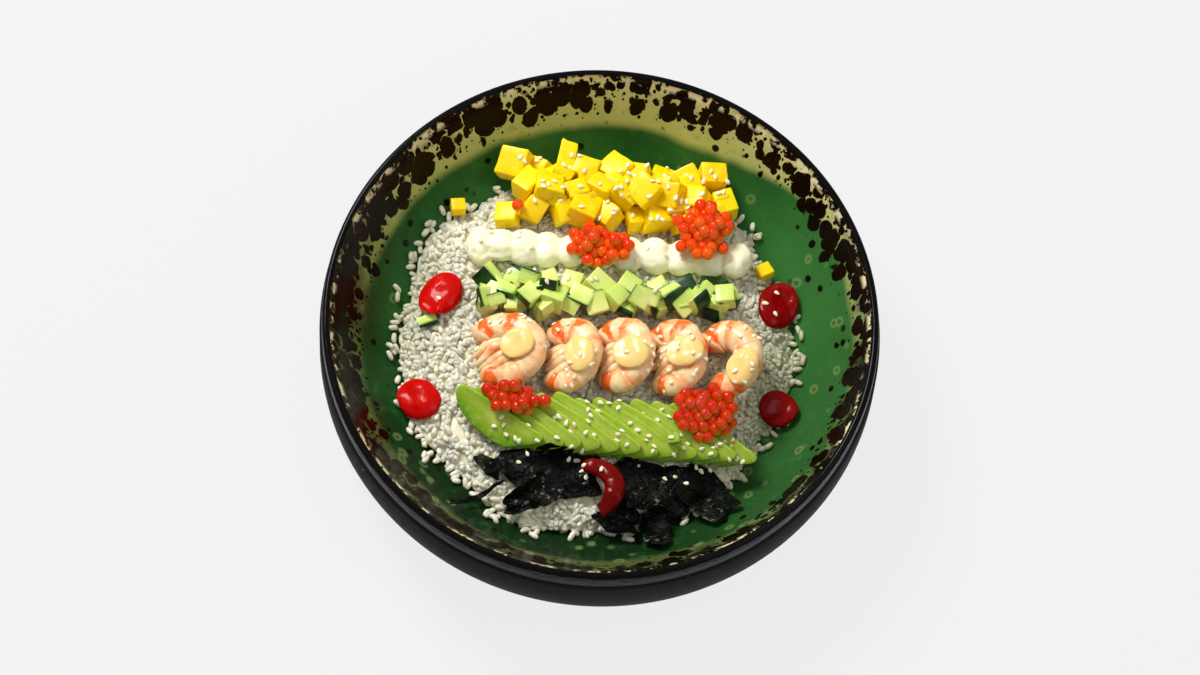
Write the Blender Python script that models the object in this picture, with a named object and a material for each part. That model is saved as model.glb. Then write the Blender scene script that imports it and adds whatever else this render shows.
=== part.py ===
# A glazed stoneware bowl of rice with mango, cream cheese, cucumber, shrimps, avocado, seaweed and roe.
# Lengths are in metres. The origin is the centre of the foot, +Z is up and -Y is the side nearest the eater.
import math
import random

import bmesh
import bpy
from mathutils import Euler, Matrix, Vector
from mathutils.bvhtree import BVHTree

MM = 0.001
GAP = 0.5 * MM  # left between a piece and what it lies on
SIDE_GAP = 0.7 * MM  # left below and beside the pieces of a heap

# The bowl
RIM_RADIUS = 115 * MM
BOWL_HEIGHT = 52 * MM
LIP_WIDTH = 3.4 * MM
FLOOR_HEIGHT = 10 * MM
WALL_POWER = 6.4  # the inside rises as this power of the radius, flat in the middle and steep at the lip
GLAZE_BAND = 9 * MM  # the glaze runs this far down the outside and ends in a small step
BODY_RADIUS = 116.6 * MM
BELLY_HEIGHT = 28 * MM  # where the outside is widest
FOOT_RADIUS = 88 * MM
FOOT_WIDTH = 10 * MM
FOOT_EDGE = 1 * MM
FOOT_RECESS = 3 * MM
BOWL_STEPS = 32
INSIDE_STEPS = 9

# The rice: a low mound whose edge wanders
RICE_RADIUS = 82.5 * MM
RICE_RISE = 11.5 * MM
RICE_EDGE = 3.5 * MM
RICE_POWER = 5
# each wave of the edge: how many go round, its height and its phase
RICE_WAVES = ((1, 2.0 * MM, -1.6), (3, 1.2 * MM, 0.4), (7, 1.5 * MM, 2.0), (11, 1.1 * MM, 4.1))
RICE_STEPS = 48
RICE_RINGS = (0.3, 0.52, 0.66, 0.75, 0.83, 0.92, 1.0)
RICE_UNDERSIDE = (0.97, 0.6)
RICE_BUMP = 0.9 * MM
BARE_LEFT, BARE_RIGHT, BARE_FRONT = -54 * MM, 66 * MM, -62 * MM  # the rice shows beyond these lines
GRAIN_HALF = (3.4 * MM, 1.35 * MM, 1.25 * MM)
GRAIN_COUNT = 21
GRAIN_TRIES = 6000
GRAIN_SPACING = 5.2 * MM
GRAIN_CLEAR = 0.45 * MM

# Heaps of dice: a band from left to right, its middle line, half width and height over the rice
MANGO = {
    "left": -45 * MM, "right": 50 * MM, "middle": 65.5 * MM, "slope": 0.02, "half": 11.5 * MM,
    "rise": 7.5 * MM, "columns": 9, "rows": 3, "side": 10.8 * MM, "seed": 11,
    "core middle": 65.5 * MM, "core half": 11.5 * MM,
}
CUCUMBER = {
    "left": -52 * MM, "right": 55 * MM, "middle": 16.5 * MM, "slope": 0.06, "half": 10.5 * MM,
    "rise": 6.0 * MM, "columns": 9, "rows": 3, "side": 9.8 * MM, "seed": 5,
    "core middle": 19.0 * MM, "core half": 8.0 * MM,
}
CUCUMBER_RADIUS = 14 * MM  # of the whole vegetable that the wedges are cut from
CORE_SECTIONS = 8
CORE_EDGE = 2 * MM  # the least thickness of a heap's core
TALL_STICK = (20 * MM, 7.5 * MM, 7.5 * MM)  # the longest mango piece, which stands up at the back
MANGO_BACK = 90 * MM  # the heap stays in front of this line

# Cream cheese piped in short tongues, side by side
TONGUE_XS = (-53, -44.5, -35, -25, -14.5, -3, 9, 20.5, 32, 43.5, 54.5)
TONGUE_HALF = (7.3 * MM, 8.6 * MM, 5.4 * MM)
TONGUE_MIDDLE = 39.6 * MM
TONGUE_SLOPE = 0.03
TONGUE_HEIGHT = 29.0 * MM

# Shrimps, left to right: middle x and y, curl radii along x and y, lean and turn in degrees
SHRIMPS = (
    (-39.0, -11.6, 12.0, 10.4, 17, 8),
    (-12.4, -11.4, 9.0, 10.8, 28, -4),
    (9.5, -9.2, 9.0, 10.6, 28, 0),
    (31.3, -8.4, 9.0, 11.0, 28, 3),
    (54.0, -6.6, 9.0, 10.8, 24, 6),
)
SHRIMP_LINE = -20 * MM  # the cucumber stays behind this line where no shrimp is
SHRIMP_THICK = 5.1 * MM
SHRIMP_WIDE = 1.34  # its breadth for its thickness
SHRIMP_RINGS = 13
SHRIMP_SIDES = 7
SHRIMP_MIDDLE = 33.2 * MM
CURL_START, CURL_END = math.radians(-142), math.radians(150)

# Sauce on each shrimp: middle x and y, half length, half width, turn
DOLLOPS = (
    (-33.8, -10.5, 7.8, 7.0, 5),
    (-7.6, -13.4, 6.6, 8.8, 14),
    (13.6, -10.6, 8.6, 7.6, -20),
    (35.6, -8.0, 8.8, 7.4, 10),
    (60.0, -12.0, 7.0, 8.8, -22),
)
DOLLOP_HEIGHT = 2.1 * MM
DOLLOP_SAG = 3.4 * MM

# Avocado: long slices shingled from left to right, each leaning on the next
SLICE_COUNT = 12
FAN_LEFT = Vector((-40 * MM, -43.6 * MM))
FAN_RIGHT = Vector((48 * MM, -42.0 * MM))
FAN_FOOT = -56 * MM  # the seaweed stays in front of this line
FAN_BOW = -0.8 * MM
SLICE_LENGTH = 43 * MM
SLICE_WIDTH = 14 * MM
SLICE_THICK = 2.3 * MM
# one slice seen flat, in lengths and widths: its straight side is up, its long cut end low on the right
SLICE_OUTLINE = (
    (0.50, -0.02), (0.52, -0.14), (0.50, -0.24), (0.35, -0.63), (0.20, -1.0), (0.04, -1.0), (-0.14, -0.95),
    (-0.30, -0.82), (-0.42, -0.60), (-0.49, -0.34), (-0.50, -0.10), (-0.47, 0.0), (0.0, 0.09),
)
SLICE_RUN = math.radians(-30)  # of the long side, from the X axis
SLICE_LEAN = math.radians(40)  # from lying flat

# Chilli sauce: middle x and y, half length, half width, turn in degrees
DROPS = (
    ("sauce_left_upper", -68.0, 15.0, 11.8, 9.2, 58),
    ("sauce_left_lower", -72.5, -32.0, 10.8, 9.0, -35),
    ("sauce_right_upper", 74.0, 25.5, 12.2, 9.2, 80),
    ("sauce_right_lower", 77.0, -21.5, 9.0, 8.4, 0),
)
DROP_HEIGHT = 4.6 * MM
DROP_SAG = 6 * MM
ARC_MIDDLE = Vector((1.5 * MM, -69 * MM))
ARC_RADIUS = 10.5 * MM
ARC_START, ARC_END = math.radians(112), math.radians(-62)
ARC_THICK = 4.7 * MM

# Roe: middle x and y, half length, half width, eggs on top of the first layer, and the draw's seed
ROE = (
    ("roe_cream", -3.7, 40.4, 15.8, 11.2, 1, 20),
    ("roe_mango", 39.8, 49.0, 12.8, 15.2, 1, 22),
    ("roe_avocado_left", -33.2, -35.2, 15.8, 8.9, 0, 11),
    ("roe_avocado_right", 46.3, -32.2, 15.8, 13.3, 1, 17),
)
EGG_RADIUS = 2.95 * MM
EGG_PITCH = 5.7 * MM
EGG_SINK = 0.7 * MM  # how far an egg's middle lies below the top of the heap's core
EGG_STACK = 2.4 * MM  # how far the second layer rises over the first
ROE_EDGE = 1.6 * MM  # the core is this much smaller than the cluster
ROE_RISE = 3.0 * MM
ROE_SAG = 3.0 * MM

# Seaweed: middle x and y, half length, half width, turn, crumple height
SEAWEED = (
    ("seaweed_1", -12, -63, 17, 10.5, 8, 2.2),
    ("seaweed_2", 26, -63.5, 17, 10, -4, 1.8),
    ("seaweed_3", -29, -60, 9, 7, -40, 2.4),
    ("seaweed_4", 49, -63.5, 12.5, 9.5, -42, 2.0),
    ("seaweed_5", 14, -77, 9, 6.5, -15, 2.2),
    ("seaweed_6", -26, -75, 7, 4.5, 12, 2.4),
    ("seaweed_7", 30, -80, 6.5, 9.0, 8, 1.6),
    ("seaweed_8", -41, -60.5, 7, 2.2, -35, 1.2),
    ("seaweed_9", -44.5, -73, 13, 1.1, 34, 0.5),
)
SEAWEED_THICK = 0.8 * MM

# Small pieces that lie apart: middle x and y, sides, turn in degrees
STRAYS = (
    ("mango_stray", -64.5, 57.0, (6.4, 6.0, 5.2), 8),
    ("mango_chip", 67.0, 40.0, (6.0, 5.4, 4.6), 30),
    ("avocado_chip", 34.0, -45.5, (5.0, 4.4, 2.6), 12),
    ("cucumber_chip", -72.5, 3.0, (8.0, 4.0, 3.6), 25),
)
LONE_EGG = Vector((-39.0, 53.5)) * MM
LONE_EGG_RADIUS = 2.6 * MM

# Sesame: what it lies on, and how many are drawn there
SEED_HALF = (1.45 * MM, 0.95 * MM, 0.55 * MM)
SEED_SPACING = 4 * MM
SEED_CLEAR = 0.35 * MM
SEED_SLOPE = 0.75  # a seed stays only on faces that point up more than this
SEED_ZONES = (
    ("mango", (-42, 46), (54, 76), 10),
    ("avocado", (-45, 62), (-52, -30), 16),
    ("shrimp", (-50, 66), (-24, 4), 12),
    ("cucumber", (-48, 52), (6, 28), 4),
)

made = []  # every piece so far, in order


def bowl_z(radius):
    """Height of the bowl's inside at a radius."""
    inner = RIM_RADIUS - LIP_WIDTH
    return FLOOR_HEIGHT + (BOWL_HEIGHT - FLOOR_HEIGHT) * min(radius / inner, 1.0) ** WALL_POWER


def rice_radius(angle):
    return RICE_RADIUS + sum(size * math.sin(n * angle + phase) for n, size, phase in RICE_WAVES)


def rice_z(x, y):
    """Height of the bare rice, or of the bowl beyond its edge."""
    radius, angle = math.hypot(x, y), math.atan2(y, x)
    share = radius / rice_radius(angle)
    if share > 1:
        return bowl_z(radius)
    return bowl_z(radius) + RICE_EDGE + RICE_RISE * (1 - share**RICE_POWER)


def rice_crest(x, y):
    """The highest that the rice is near a point, for broad faces that would cut through its edge."""
    steps_x, steps_y = (-6 * MM, 0, 6 * MM), (-3 * MM, 0, 3 * MM)
    return max(rice_z(x + dx, y + dy) for dx in steps_x for dy in steps_y)


def shrimp_front(x):
    """The largest y that the shrimps reach near an x."""
    reach = SHRIMP_LINE
    for sx, sy, curl_x, curl_y, _, _ in SHRIMPS:
        margin = SHRIMP_THICK * SHRIMP_WIDE + 0.2 * MM
        across = (x - sx * MM) / (curl_x * MM + margin)
        if abs(across) < 1:
            reach = max(reach, sy * MM + (curl_y * MM + margin) * math.sqrt(1 - across**2))
    return reach


def material(name, colour, roughness, metallic=0.0):
    finish = bpy.data.materials.new(name)
    finish.use_nodes = True
    shader = finish.node_tree.nodes["Principled BSDF"]
    shader.inputs["Base Color"].default_value = (*colour, 1)
    shader.inputs["Roughness"].default_value = roughness
    shader.inputs["Metallic"].default_value = metallic
    return finish


def mesh_of(bm, name):
    bmesh.ops.recalc_face_normals(bm, faces=bm.faces)
    mesh = bpy.data.meshes.new(name)
    bm.to_mesh(mesh)
    bm.free()
    return mesh


def add_object(name, mesh, finish, origin=(0, 0, 0)):
    """Links a mesh given in world space as an object whose origin is at the given point."""
    mesh.transform(Matrix.Translation(-Vector(origin)))
    mesh.materials.clear()
    mesh.materials.append(finish)
    piece = bpy.data.objects.new(name, mesh)
    piece.location = origin
    bpy.context.scene.collection.objects.link(piece)
    made.append(piece)
    return piece


def world_tree(pieces):
    """A search tree over the faces of some pieces, in world space."""
    points, faces = [], []
    for piece in pieces:
        base = len(points)
        shift = piece.location
        points += [corner.co + shift for corner in piece.data.vertices]
        faces += [[base + i for i in face.vertices] for face in piece.data.polygons]
    return BVHTree.FromPolygons(points, faces)


def height_at(tree, x, y, around=0.0):
    """Height of the highest face under a point, or under a small circle about it."""
    spots = [(0, 0)]
    if around:
        spots += [(around * math.cos(k * math.pi / 3), around * math.sin(k * math.pi / 3)) for k in range(6)]
    best = FLOOR_HEIGHT
    for dx, dy in spots:
        hit = tree.ray_cast(Vector((x + dx, y + dy, 2 * BOWL_HEIGHT)), Vector((0, 0, -1)))[0]
        if hit:
            best = max(best, hit.z)
    return best


def loft(rings):
    """A closed body through rings of points, with a flat cap at each end."""
    bm = bmesh.new()
    loops = [[bm.verts.new(point) for point in ring] for ring in rings]
    bm.faces.new(loops[0])
    bm.faces.new(loops[-1])
    for low, high in zip(loops, loops[1:]):
        count = len(low)
        for i in range(count):
            j = (i + 1) % count
            bm.faces.new((low[i], low[j], high[j], high[i]))
    return bm


def ball(middle, half, turn, segments=0, rings=0):
    """A rounded mesh: twenty sided for grains, seeds and roe, finer where segments are given."""
    bm = bmesh.new()
    if segments:
        bmesh.ops.create_uvsphere(bm, u_segments=segments, v_segments=rings, radius=1)
    else:
        bmesh.ops.create_icosphere(bm, subdivisions=1, radius=1)
    place = Matrix.LocRotScale(Vector(middle), turn, Vector(half))
    bmesh.ops.transform(bm, matrix=place, verts=bm.verts)
    return mesh_of(bm, "ball")


def drop_scraps(mesh):
    """Keeps the largest connected body of a mesh."""
    bm = bmesh.new()
    bm.from_mesh(mesh)
    left, bodies = set(bm.verts), []
    while left:
        body, edge = set(), [next(iter(left))]
        while edge:
            corner = edge.pop()
            if corner not in body:
                body.add(corner)
                edge += [link.other_vert(corner) for link in corner.link_edges]
        left -= body
        bodies.append(body)
    bodies.sort(key=len, reverse=True)
    for body in bodies[1:]:
        bmesh.ops.delete(bm, geom=list(body), context="VERTS")
    bm.to_mesh(mesh)
    bm.free()
    return mesh


def fuse(name, core, additions):
    """One union of a core mesh with further closed meshes, all in world space."""
    group = bpy.data.collections.new(name + "_pieces")
    for mesh in additions:
        group.objects.link(bpy.data.objects.new(name + "_piece", mesh))
    body = bpy.data.objects.new(name + "_body", core)
    bpy.context.scene.collection.objects.link(body)
    union = body.modifiers.new("union", "BOOLEAN")
    union.operation = "UNION"
    union.operand_type = "COLLECTION"
    union.collection = group
    union.solver = "EXACT"
    bpy.context.view_layer.update()
    graph = bpy.context.evaluated_depsgraph_get()
    joined = bpy.data.meshes.new_from_object(body.evaluated_get(graph))
    for piece in list(group.objects) + [body]:
        bpy.data.objects.remove(piece)
    bpy.data.collections.remove(group)
    return drop_scraps(joined)


def make_bowl(finish):
    """The bowl, turned from a profile that runs from the middle of the inside over the lip to the foot."""
    inner = RIM_RADIUS - LIP_WIDTH
    inside = [inner * math.sqrt(k / INSIDE_STEPS) for k in range(INSIDE_STEPS)] + [inner * 0.985]
    profile = [(radius, bowl_z(radius)) for radius in inside]
    lip = LIP_WIDTH / 2
    for k in range(5):
        angle = math.pi * (1 - k / 4)
        profile.append((RIM_RADIUS - lip + lip * math.cos(angle), BOWL_HEIGHT - lip + lip * math.sin(angle)))
    profile.append((RIM_RADIUS + 0.3 * MM, BOWL_HEIGHT - GLAZE_BAND))
    profile.append((RIM_RADIUS + 1.2 * MM, BOWL_HEIGHT - GLAZE_BAND - 1 * MM))
    for k in range(5):
        angle = math.pi / 2 * k / 4
        radius = FOOT_RADIUS + (BODY_RADIUS - FOOT_RADIUS) * math.cos(angle)
        profile.append((radius, BELLY_HEIGHT - (BELLY_HEIGHT - FOOT_EDGE) * math.sin(angle)))
    profile.append((FOOT_RADIUS - FOOT_EDGE, 0))
    profile.append((FOOT_RADIUS - FOOT_WIDTH, 0))
    profile.append((FOOT_RADIUS - FOOT_WIDTH - FOOT_RECESS, FOOT_RECESS))
    profile.append((0, FOOT_RECESS))
    mesh = bpy.data.meshes.new("bowl")
    mesh.from_pydata([(x, 0, z) for x, z in profile], [(i, i + 1) for i in range(len(profile) - 1)], [])
    turned = bpy.data.objects.new("bowl_profile", mesh)
    bpy.context.scene.collection.objects.link(turned)
    screw = turned.modifiers.new("turn", "SCREW")
    screw.steps = screw.render_steps = BOWL_STEPS
    screw.use_merge_vertices = True
    screw.merge_threshold = 0.01 * MM
    bpy.context.view_layer.update()
    graph = bpy.context.evaluated_depsgraph_get()
    body = bpy.data.meshes.new_from_object(turned.evaluated_get(graph))
    bpy.data.objects.remove(turned)
    body.shade_smooth()
    body.set_sharp_from_angle(angle=math.radians(40))
    return add_object("bowl", body, finish)


def bare_rice(x, y):
    """Whether the rice shows there, so that it has bumps and grains."""
    return x < BARE_LEFT or x > BARE_RIGHT or y < BARE_FRONT


def rice_core():
    """The rice without its grains."""
    draw = random.Random(3)
    rings = []
    for share in RICE_RINGS:
        ring = []
        for k in range(RICE_STEPS):
            angle = 2 * math.pi * k / RICE_STEPS
            radius = share * rice_radius(angle)
            x, y = radius * math.cos(angle), radius * math.sin(angle)
            bump = draw.uniform(-1, 1) * RICE_BUMP if bare_rice(x, y) and share < 1 else 0
            edge = share > 0.999
            height = bowl_z(radius) + RICE_EDGE * 0.5 if edge else rice_z(x, y) + bump
            ring.append((x, y, height))
        rings.append(ring)
    for share in RICE_UNDERSIDE:
        ring = []
        for k in range(RICE_STEPS):
            angle = 2 * math.pi * k / RICE_STEPS
            radius = share * rice_radius(angle)
            ring.append((radius * math.cos(angle), radius * math.sin(angle), bowl_z(radius) + GAP))
        rings.append(ring)
    bm = loft(rings)
    return mesh_of(bm, "rice_core")


def heap_core(band):
    """The lower part of a heap of dice, its underside following the rice."""
    rings = []
    for i in range(CORE_SECTIONS):
        along = i / (CORE_SECTIONS - 1)
        x = band["left"] + (band["right"] - band["left"]) * along
        swell = math.sin(math.pi * (0.12 + 0.76 * along)) ** 0.5
        middle, half = band["core middle"] + band["slope"] * x, band["core half"] * swell
        ring = []
        for k in range(4):
            y = middle + half * (k / 1.5 - 1)
            ring.append((x, y, rice_crest(x, y) + SIDE_GAP))
        for k in range(3):
            y = middle + half * 0.9 * (1 - k)
            rise = CORE_EDGE + band["rise"] * swell * math.cos((1 - k) * 1.2)
            ring.append((x, y, rice_crest(x, y) + rise))
        rings.append(ring)
    return mesh_of(loft(rings), "heap_core")


def die(sides, jitter, draw):
    """A knife-cut block, its corners a little off square."""
    bm = bmesh.new()
    bmesh.ops.create_cube(bm, size=1)
    for corner in bm.verts:
        corner.co = Vector([corner.co[i] * sides[i] + draw.uniform(-jitter, jitter) for i in range(3)])
    return bm


def wedge(length, draw):
    """A length of cucumber quarter, the peel on its round side."""
    reach = math.radians(draw.uniform(62, 95))
    radius = CUCUMBER_RADIUS * draw.uniform(0.62, 0.9)
    rings = []
    for x in (-length / 2, length / 2):
        arc = [(x, 0, radius * 0.6)]
        for k in range(4):
            angle = -reach / 2 + reach * k / 3
            arc.append((x, -radius * math.sin(angle), radius * (0.6 - math.cos(angle))))
        rings.append(arc)
    return loft(rings)


def place_in_heap(bm, x, y, lift, turn, low, high):
    """Turns a block, keeps it between two lines, and lifts it clear of the rice."""
    bmesh.ops.transform(bm, matrix=turn.to_matrix().to_4x4(), verts=bm.verts)
    reach_low = min(corner.co.y for corner in bm.verts)
    reach_high = max(corner.co.y for corner in bm.verts)
    y = min(max(y, low - reach_low), high - reach_high)
    floor = 0
    for face in bm.faces:
        for spot in [corner.co for corner in face.verts] + [face.calc_center_median()]:
            floor = max(floor, rice_z(x + spot.x, y + spot.y) + SIDE_GAP - spot.z)
    z = floor + lift
    bmesh.ops.transform(bm, matrix=Matrix.Translation((x, y, z)), verts=bm.verts)


def heap_spots(band):
    """The dice of a heap, back row first: column, row, x, y and lift, drawn a little off a grid."""
    draw = random.Random(band["seed"])
    spots = []
    for row in range(band["rows"]):
        for column in range(band["columns"]):
            along = (column + 0.5 + (0.25 if row % 2 else -0.25)) / band["columns"]
            x = band["left"] + (band["right"] - band["left"]) * along + draw.uniform(-1.3, 1.3) * MM
            across = 1 - row / (band["rows"] - 1) * 2
            y = band["middle"] + band["slope"] * x + band["half"] * across + draw.uniform(-1.5, 1.5) * MM
            lift = (band["rise"] * 0.6 if row == 1 else 0) + draw.uniform(0, 1.2) * MM
            spots.append((column, row, x, y, lift, draw.random()))
    return spots, draw


def make_mango(finish):
    spots, draw = heap_spots(MANGO)
    pieces = []
    for column, row, x, y, lift, kind in spots:
        side = MANGO["side"] * draw.uniform(0.82, 1.16)
        sides = [side, side * draw.uniform(0.8, 1.1), side * draw.uniform(0.75, 1.0)]
        turn = Euler((draw.uniform(-0.4, 0.4), draw.uniform(-0.4, 0.4), draw.uniform(0, 3.1)))
        if column == 2 and row == 0:
            sides = TALL_STICK
            turn = Euler((0, math.radians(-12), math.radians(82)))
            y += 2 * MM
        bm = die(sides, 0.6 * MM, draw)
        seam = TONGUE_MIDDLE + TONGUE_HALF[1] + 2 * SIDE_GAP
        place_in_heap(bm, x, y, lift, turn, seam + TONGUE_SLOPE * x, MANGO_BACK)
        pieces.append(mesh_of(bm, "die"))
    return add_object("mango", fuse("mango", heap_core(MANGO), pieces), finish)


def make_cucumber(finish):
    spots, draw = heap_spots(CUCUMBER)
    pieces = []
    for column, row, x, y, lift, kind in spots:
        turn = Euler((draw.uniform(-0.35, 0.35), draw.uniform(-0.35, 0.35), draw.uniform(-0.8, 0.8)))
        side = CUCUMBER["side"] * draw.uniform(0.8, 1.1)
        if kind < 0.4:
            bm = wedge(side, draw)
            quarter = math.radians(draw.choice((0, 90, 180)))
            turn = Euler((turn.x + math.radians(60), turn.y, turn.z + quarter))
        else:
            bm = die([side, side * draw.uniform(0.75, 1.0), side * draw.uniform(0.7, 0.95)], 0.5 * MM, draw)
        seam = TONGUE_MIDDLE - TONGUE_HALF[1] - 2 * SIDE_GAP + TONGUE_SLOPE * x
        low = max(shrimp_front(x + step * side / 2) for step in (-1, 0, 1)) + SIDE_GAP
        place_in_heap(bm, x, y, lift, turn, low, seam)
        pieces.append(mesh_of(bm, "die"))
    return add_object("cucumber", fuse("cucumber", heap_core(CUCUMBER), pieces), finish)


def make_cream(finish):
    draw = random.Random(8)
    tongues = []
    for i, x in enumerate(TONGUE_XS):
        half = Vector(TONGUE_HALF) * draw.uniform(0.92, 1.07)
        half.y = min(half.y * draw.uniform(0.9, 1.05), TONGUE_HALF[1])
        height = TONGUE_HEIGHT + draw.uniform(-0.8, 0.8) * MM
        middle = Vector((x * MM, TONGUE_MIDDLE + TONGUE_SLOPE * x * MM, height))
        tongue = ball(middle, half, Euler((0, 0, draw.uniform(-0.12, 0.12))).to_quaternion(), 8, 4)
        for corner in tongue.vertices:
            corner.co.z = max(corner.co.z, rice_z(corner.co.x, corner.co.y) + SIDE_GAP)
        tongues.append(tongue)
    return add_object("cream_cheese", fuse("cream_cheese", tongues[0], tongues[1:]), finish)


def shrimp_rings(curl_x, curl_y, lean, turn, x, y):
    """Sections along one shrimp, from its tail round to its thick end, in world space."""
    place = Matrix.Translation((x, y, SHRIMP_MIDDLE)) @ Euler((0, -lean, turn), "XYZ").to_matrix().to_4x4()
    rings = []
    for i in range(SHRIMP_RINGS):
        along = i / (SHRIMP_RINGS - 1)
        angle = CURL_START + (CURL_END - CURL_START) * along
        middle = Vector((curl_x * math.cos(angle), curl_y * math.sin(angle), 0))
        outward = Vector((curl_y * math.cos(angle), curl_x * math.sin(angle), 0)).normalized()
        thick = SHRIMP_THICK * (0.66 + 0.34 * math.sin(math.pi * min(along * 0.75, 0.5)))
        thick *= 1 + 0.05 * (1 if i % 2 else -1)
        if i in (0, SHRIMP_RINGS - 1):
            thick *= 0.5
        ring = []
        for k in range(SHRIMP_SIDES):
            around = 2 * math.pi * k / SHRIMP_SIDES
            spot = middle + outward * thick * SHRIMP_WIDE * math.cos(around)
            spot = place @ (spot + Vector((0, 0, thick * math.sin(around))))
            spot.z = max(spot.z, rice_z(spot.x, spot.y) + SIDE_GAP + 0.6 * MM * math.cos(around) ** 2)
            ring.append(spot)
        rings.append(ring)
    return rings


def make_shrimps(finish):
    for i, (x, y, curl_x, curl_y, lean, turn) in enumerate(SHRIMPS):
        lean, turn = math.radians(lean), math.radians(turn)
        rings = shrimp_rings(curl_x * MM, curl_y * MM, lean, turn, x * MM, y * MM)
        middle = (x * MM, y * MM, SHRIMP_MIDDLE)
        body = mesh_of(loft(rings), "shrimp")
        body.shade_smooth()
        add_object(f"shrimp_{i + 1}", body, finish, middle)


def puddle_mesh(name, x, y, length, width, turn, height, sag, tree):
    """A low mound lying on whatever is under it, and the height of its base."""
    sides = 10
    spin = Matrix.Rotation(turn, 2)

    def spots(share):
        for k in range(sides):
            angle = 2 * math.pi * k / sides
            flat = spin @ Vector((length * math.cos(angle) * share, width * math.sin(angle) * share))
            yield x + flat.x, y + flat.y

    def under(px, py):
        return height_at(tree, px, py, 1.2 * MM) + GAP

    peak = max(under(px, py) for share in (0.05, 0.6, 1) for px, py in spots(share))
    rings = []
    for share in (0.45, 0.93):
        rings.append([(px, py, max(under(px, py), peak - sag)) for px, py in spots(share)])
    for share, rise in ((1.0, 0.34), (0.86, 0.74), (0.42, 1.0)):
        ring = []
        for px, py in spots(share):
            ring.append((px, py, max(under(px, py), peak - sag) + height * rise))
        rings.append(ring)
    mesh = mesh_of(loft(rings), name)
    lift_clear(mesh, tree)
    return mesh, peak


def puddle(name, finish, x, y, length, width, turn, height, sag, below):
    """Thick sauce."""
    mesh, peak = puddle_mesh(name, x, y, length, width, turn, height, sag, world_tree(below))
    mesh.shade_smooth()
    return add_object(name, mesh, finish, (x, y, peak))


def lift_clear(mesh, tree):
    """Raises a mesh in small steps until it touches nothing below."""
    step = 0.2 * MM
    for _ in range(60):
        own = BVHTree.FromPolygons([v.co for v in mesh.vertices], [list(p.vertices) for p in mesh.polygons])
        if not own.overlap(tree):
            break
        mesh.transform(Matrix.Translation((0, 0, step)))
    mesh.transform(Matrix.Translation((0, 0, step)))


def rest_on(mesh, tree):
    """Lowers or raises a mesh until it just clears what is below it."""
    lowest = min(v.co.z - height_at(tree, v.co.x, v.co.y) for v in mesh.vertices)
    mesh.transform(Matrix.Translation((0, 0, GAP - lowest)))
    lift_clear(mesh, tree)


def slice_mesh(centre, draw):
    """One slice, its round side low on the left, its straight side leaning up to the right."""
    length = SLICE_LENGTH * draw.uniform(0.96, 1.02)
    width = SLICE_WIDTH * draw.uniform(0.96, 1.04)
    outline = [(u * length, v * width) for u, v in SLICE_OUTLINE]
    place = (Matrix.Translation((centre.x, centre.y, 0)) @ Matrix.Rotation(SLICE_RUN, 4, "Z")
             @ Matrix.Rotation(SLICE_LEAN, 4, "X"))
    rings = []
    for side in (-0.5, 0.5):
        rings.append([place @ Vector((u, v + width / 2, side * SLICE_THICK)) for u, v in outline])
    return mesh_of(loft(rings), "slice")


def make_avocado(finish):
    """The slices, laid from the right, so that each one leans on the next."""
    draw = random.Random(21)
    resting = [made[0], made[1]]
    shrimps = [piece for piece in made if piece.name.startswith("shrimp")]
    for i in reversed(range(SLICE_COUNT)):
        along = i / (SLICE_COUNT - 1)
        centre = FAN_LEFT.lerp(FAN_RIGHT, along)
        centre.y += FAN_BOW * math.sin(math.pi * along) + draw.uniform(-0.6, 0.6) * MM
        mesh = slice_mesh(centre, draw)
        tree = world_tree(resting[:2] + resting[2:][-3:] + shrimps)
        rest_on(mesh, tree)
        middle = sum((v.co for v in mesh.vertices), Vector()) / len(mesh.vertices)
        resting.append(add_object(f"avocado_{i + 1:02d}", mesh, finish, middle))


def make_seaweed(finish):
    for number, (name, x, y, length, width, turn, crumple) in enumerate(SEAWEED):
        draw = random.Random(40 + number)
        x, y, length, width = x * MM, y * MM, length * MM, width * MM
        spin = Matrix.Rotation(math.radians(turn), 2)
        tree = world_tree(made)
        across = 2 if width < 3 * MM else 5
        along = max(5, round(length / (2.7 * MM)))
        phases = [draw.uniform(0, 6.28) for _ in range(4)]
        top, low = [], []
        for i in range(along + 1):
            row_top, row_low = [], []
            u = 2 * i / along - 1
            for k in range(across + 1):
                v = 2 * k / across - 1
                torn = 1 - 0.16 * math.sin(5 * v + phases[0]) - 0.1 * math.sin(11 * v + phases[1])
                ragged = 1 - 0.2 * math.sin(4 * u + phases[2]) - 0.12 * math.sin(9 * u + phases[3])
                flat = spin @ Vector((length * u * torn, width * v * ragged * math.sqrt(1 - 0.55 * u * u)))
                px, py = x + flat.x, min(y + flat.y, FAN_FOOT + 0.15 * flat.y)
                wave = math.sin(u * 5 + phases[1]) * math.cos(v * 3.4 + phases[2])
                wave += math.sin(v * 6 + phases[3])
                z = height_at(tree, px, py, 1.6 * MM) + GAP + crumple * 0.3 * (wave + 2) * MM
                row_low.append((px, py, z))
                row_top.append((px, py, z + SEAWEED_THICK))
            low.append(row_low)
            top.append(row_top)
        mesh = sheet(low, top, name)
        lift_clear(mesh, tree)
        add_object(name, mesh, finish, (x, y, height_at(tree, x, y)))


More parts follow.
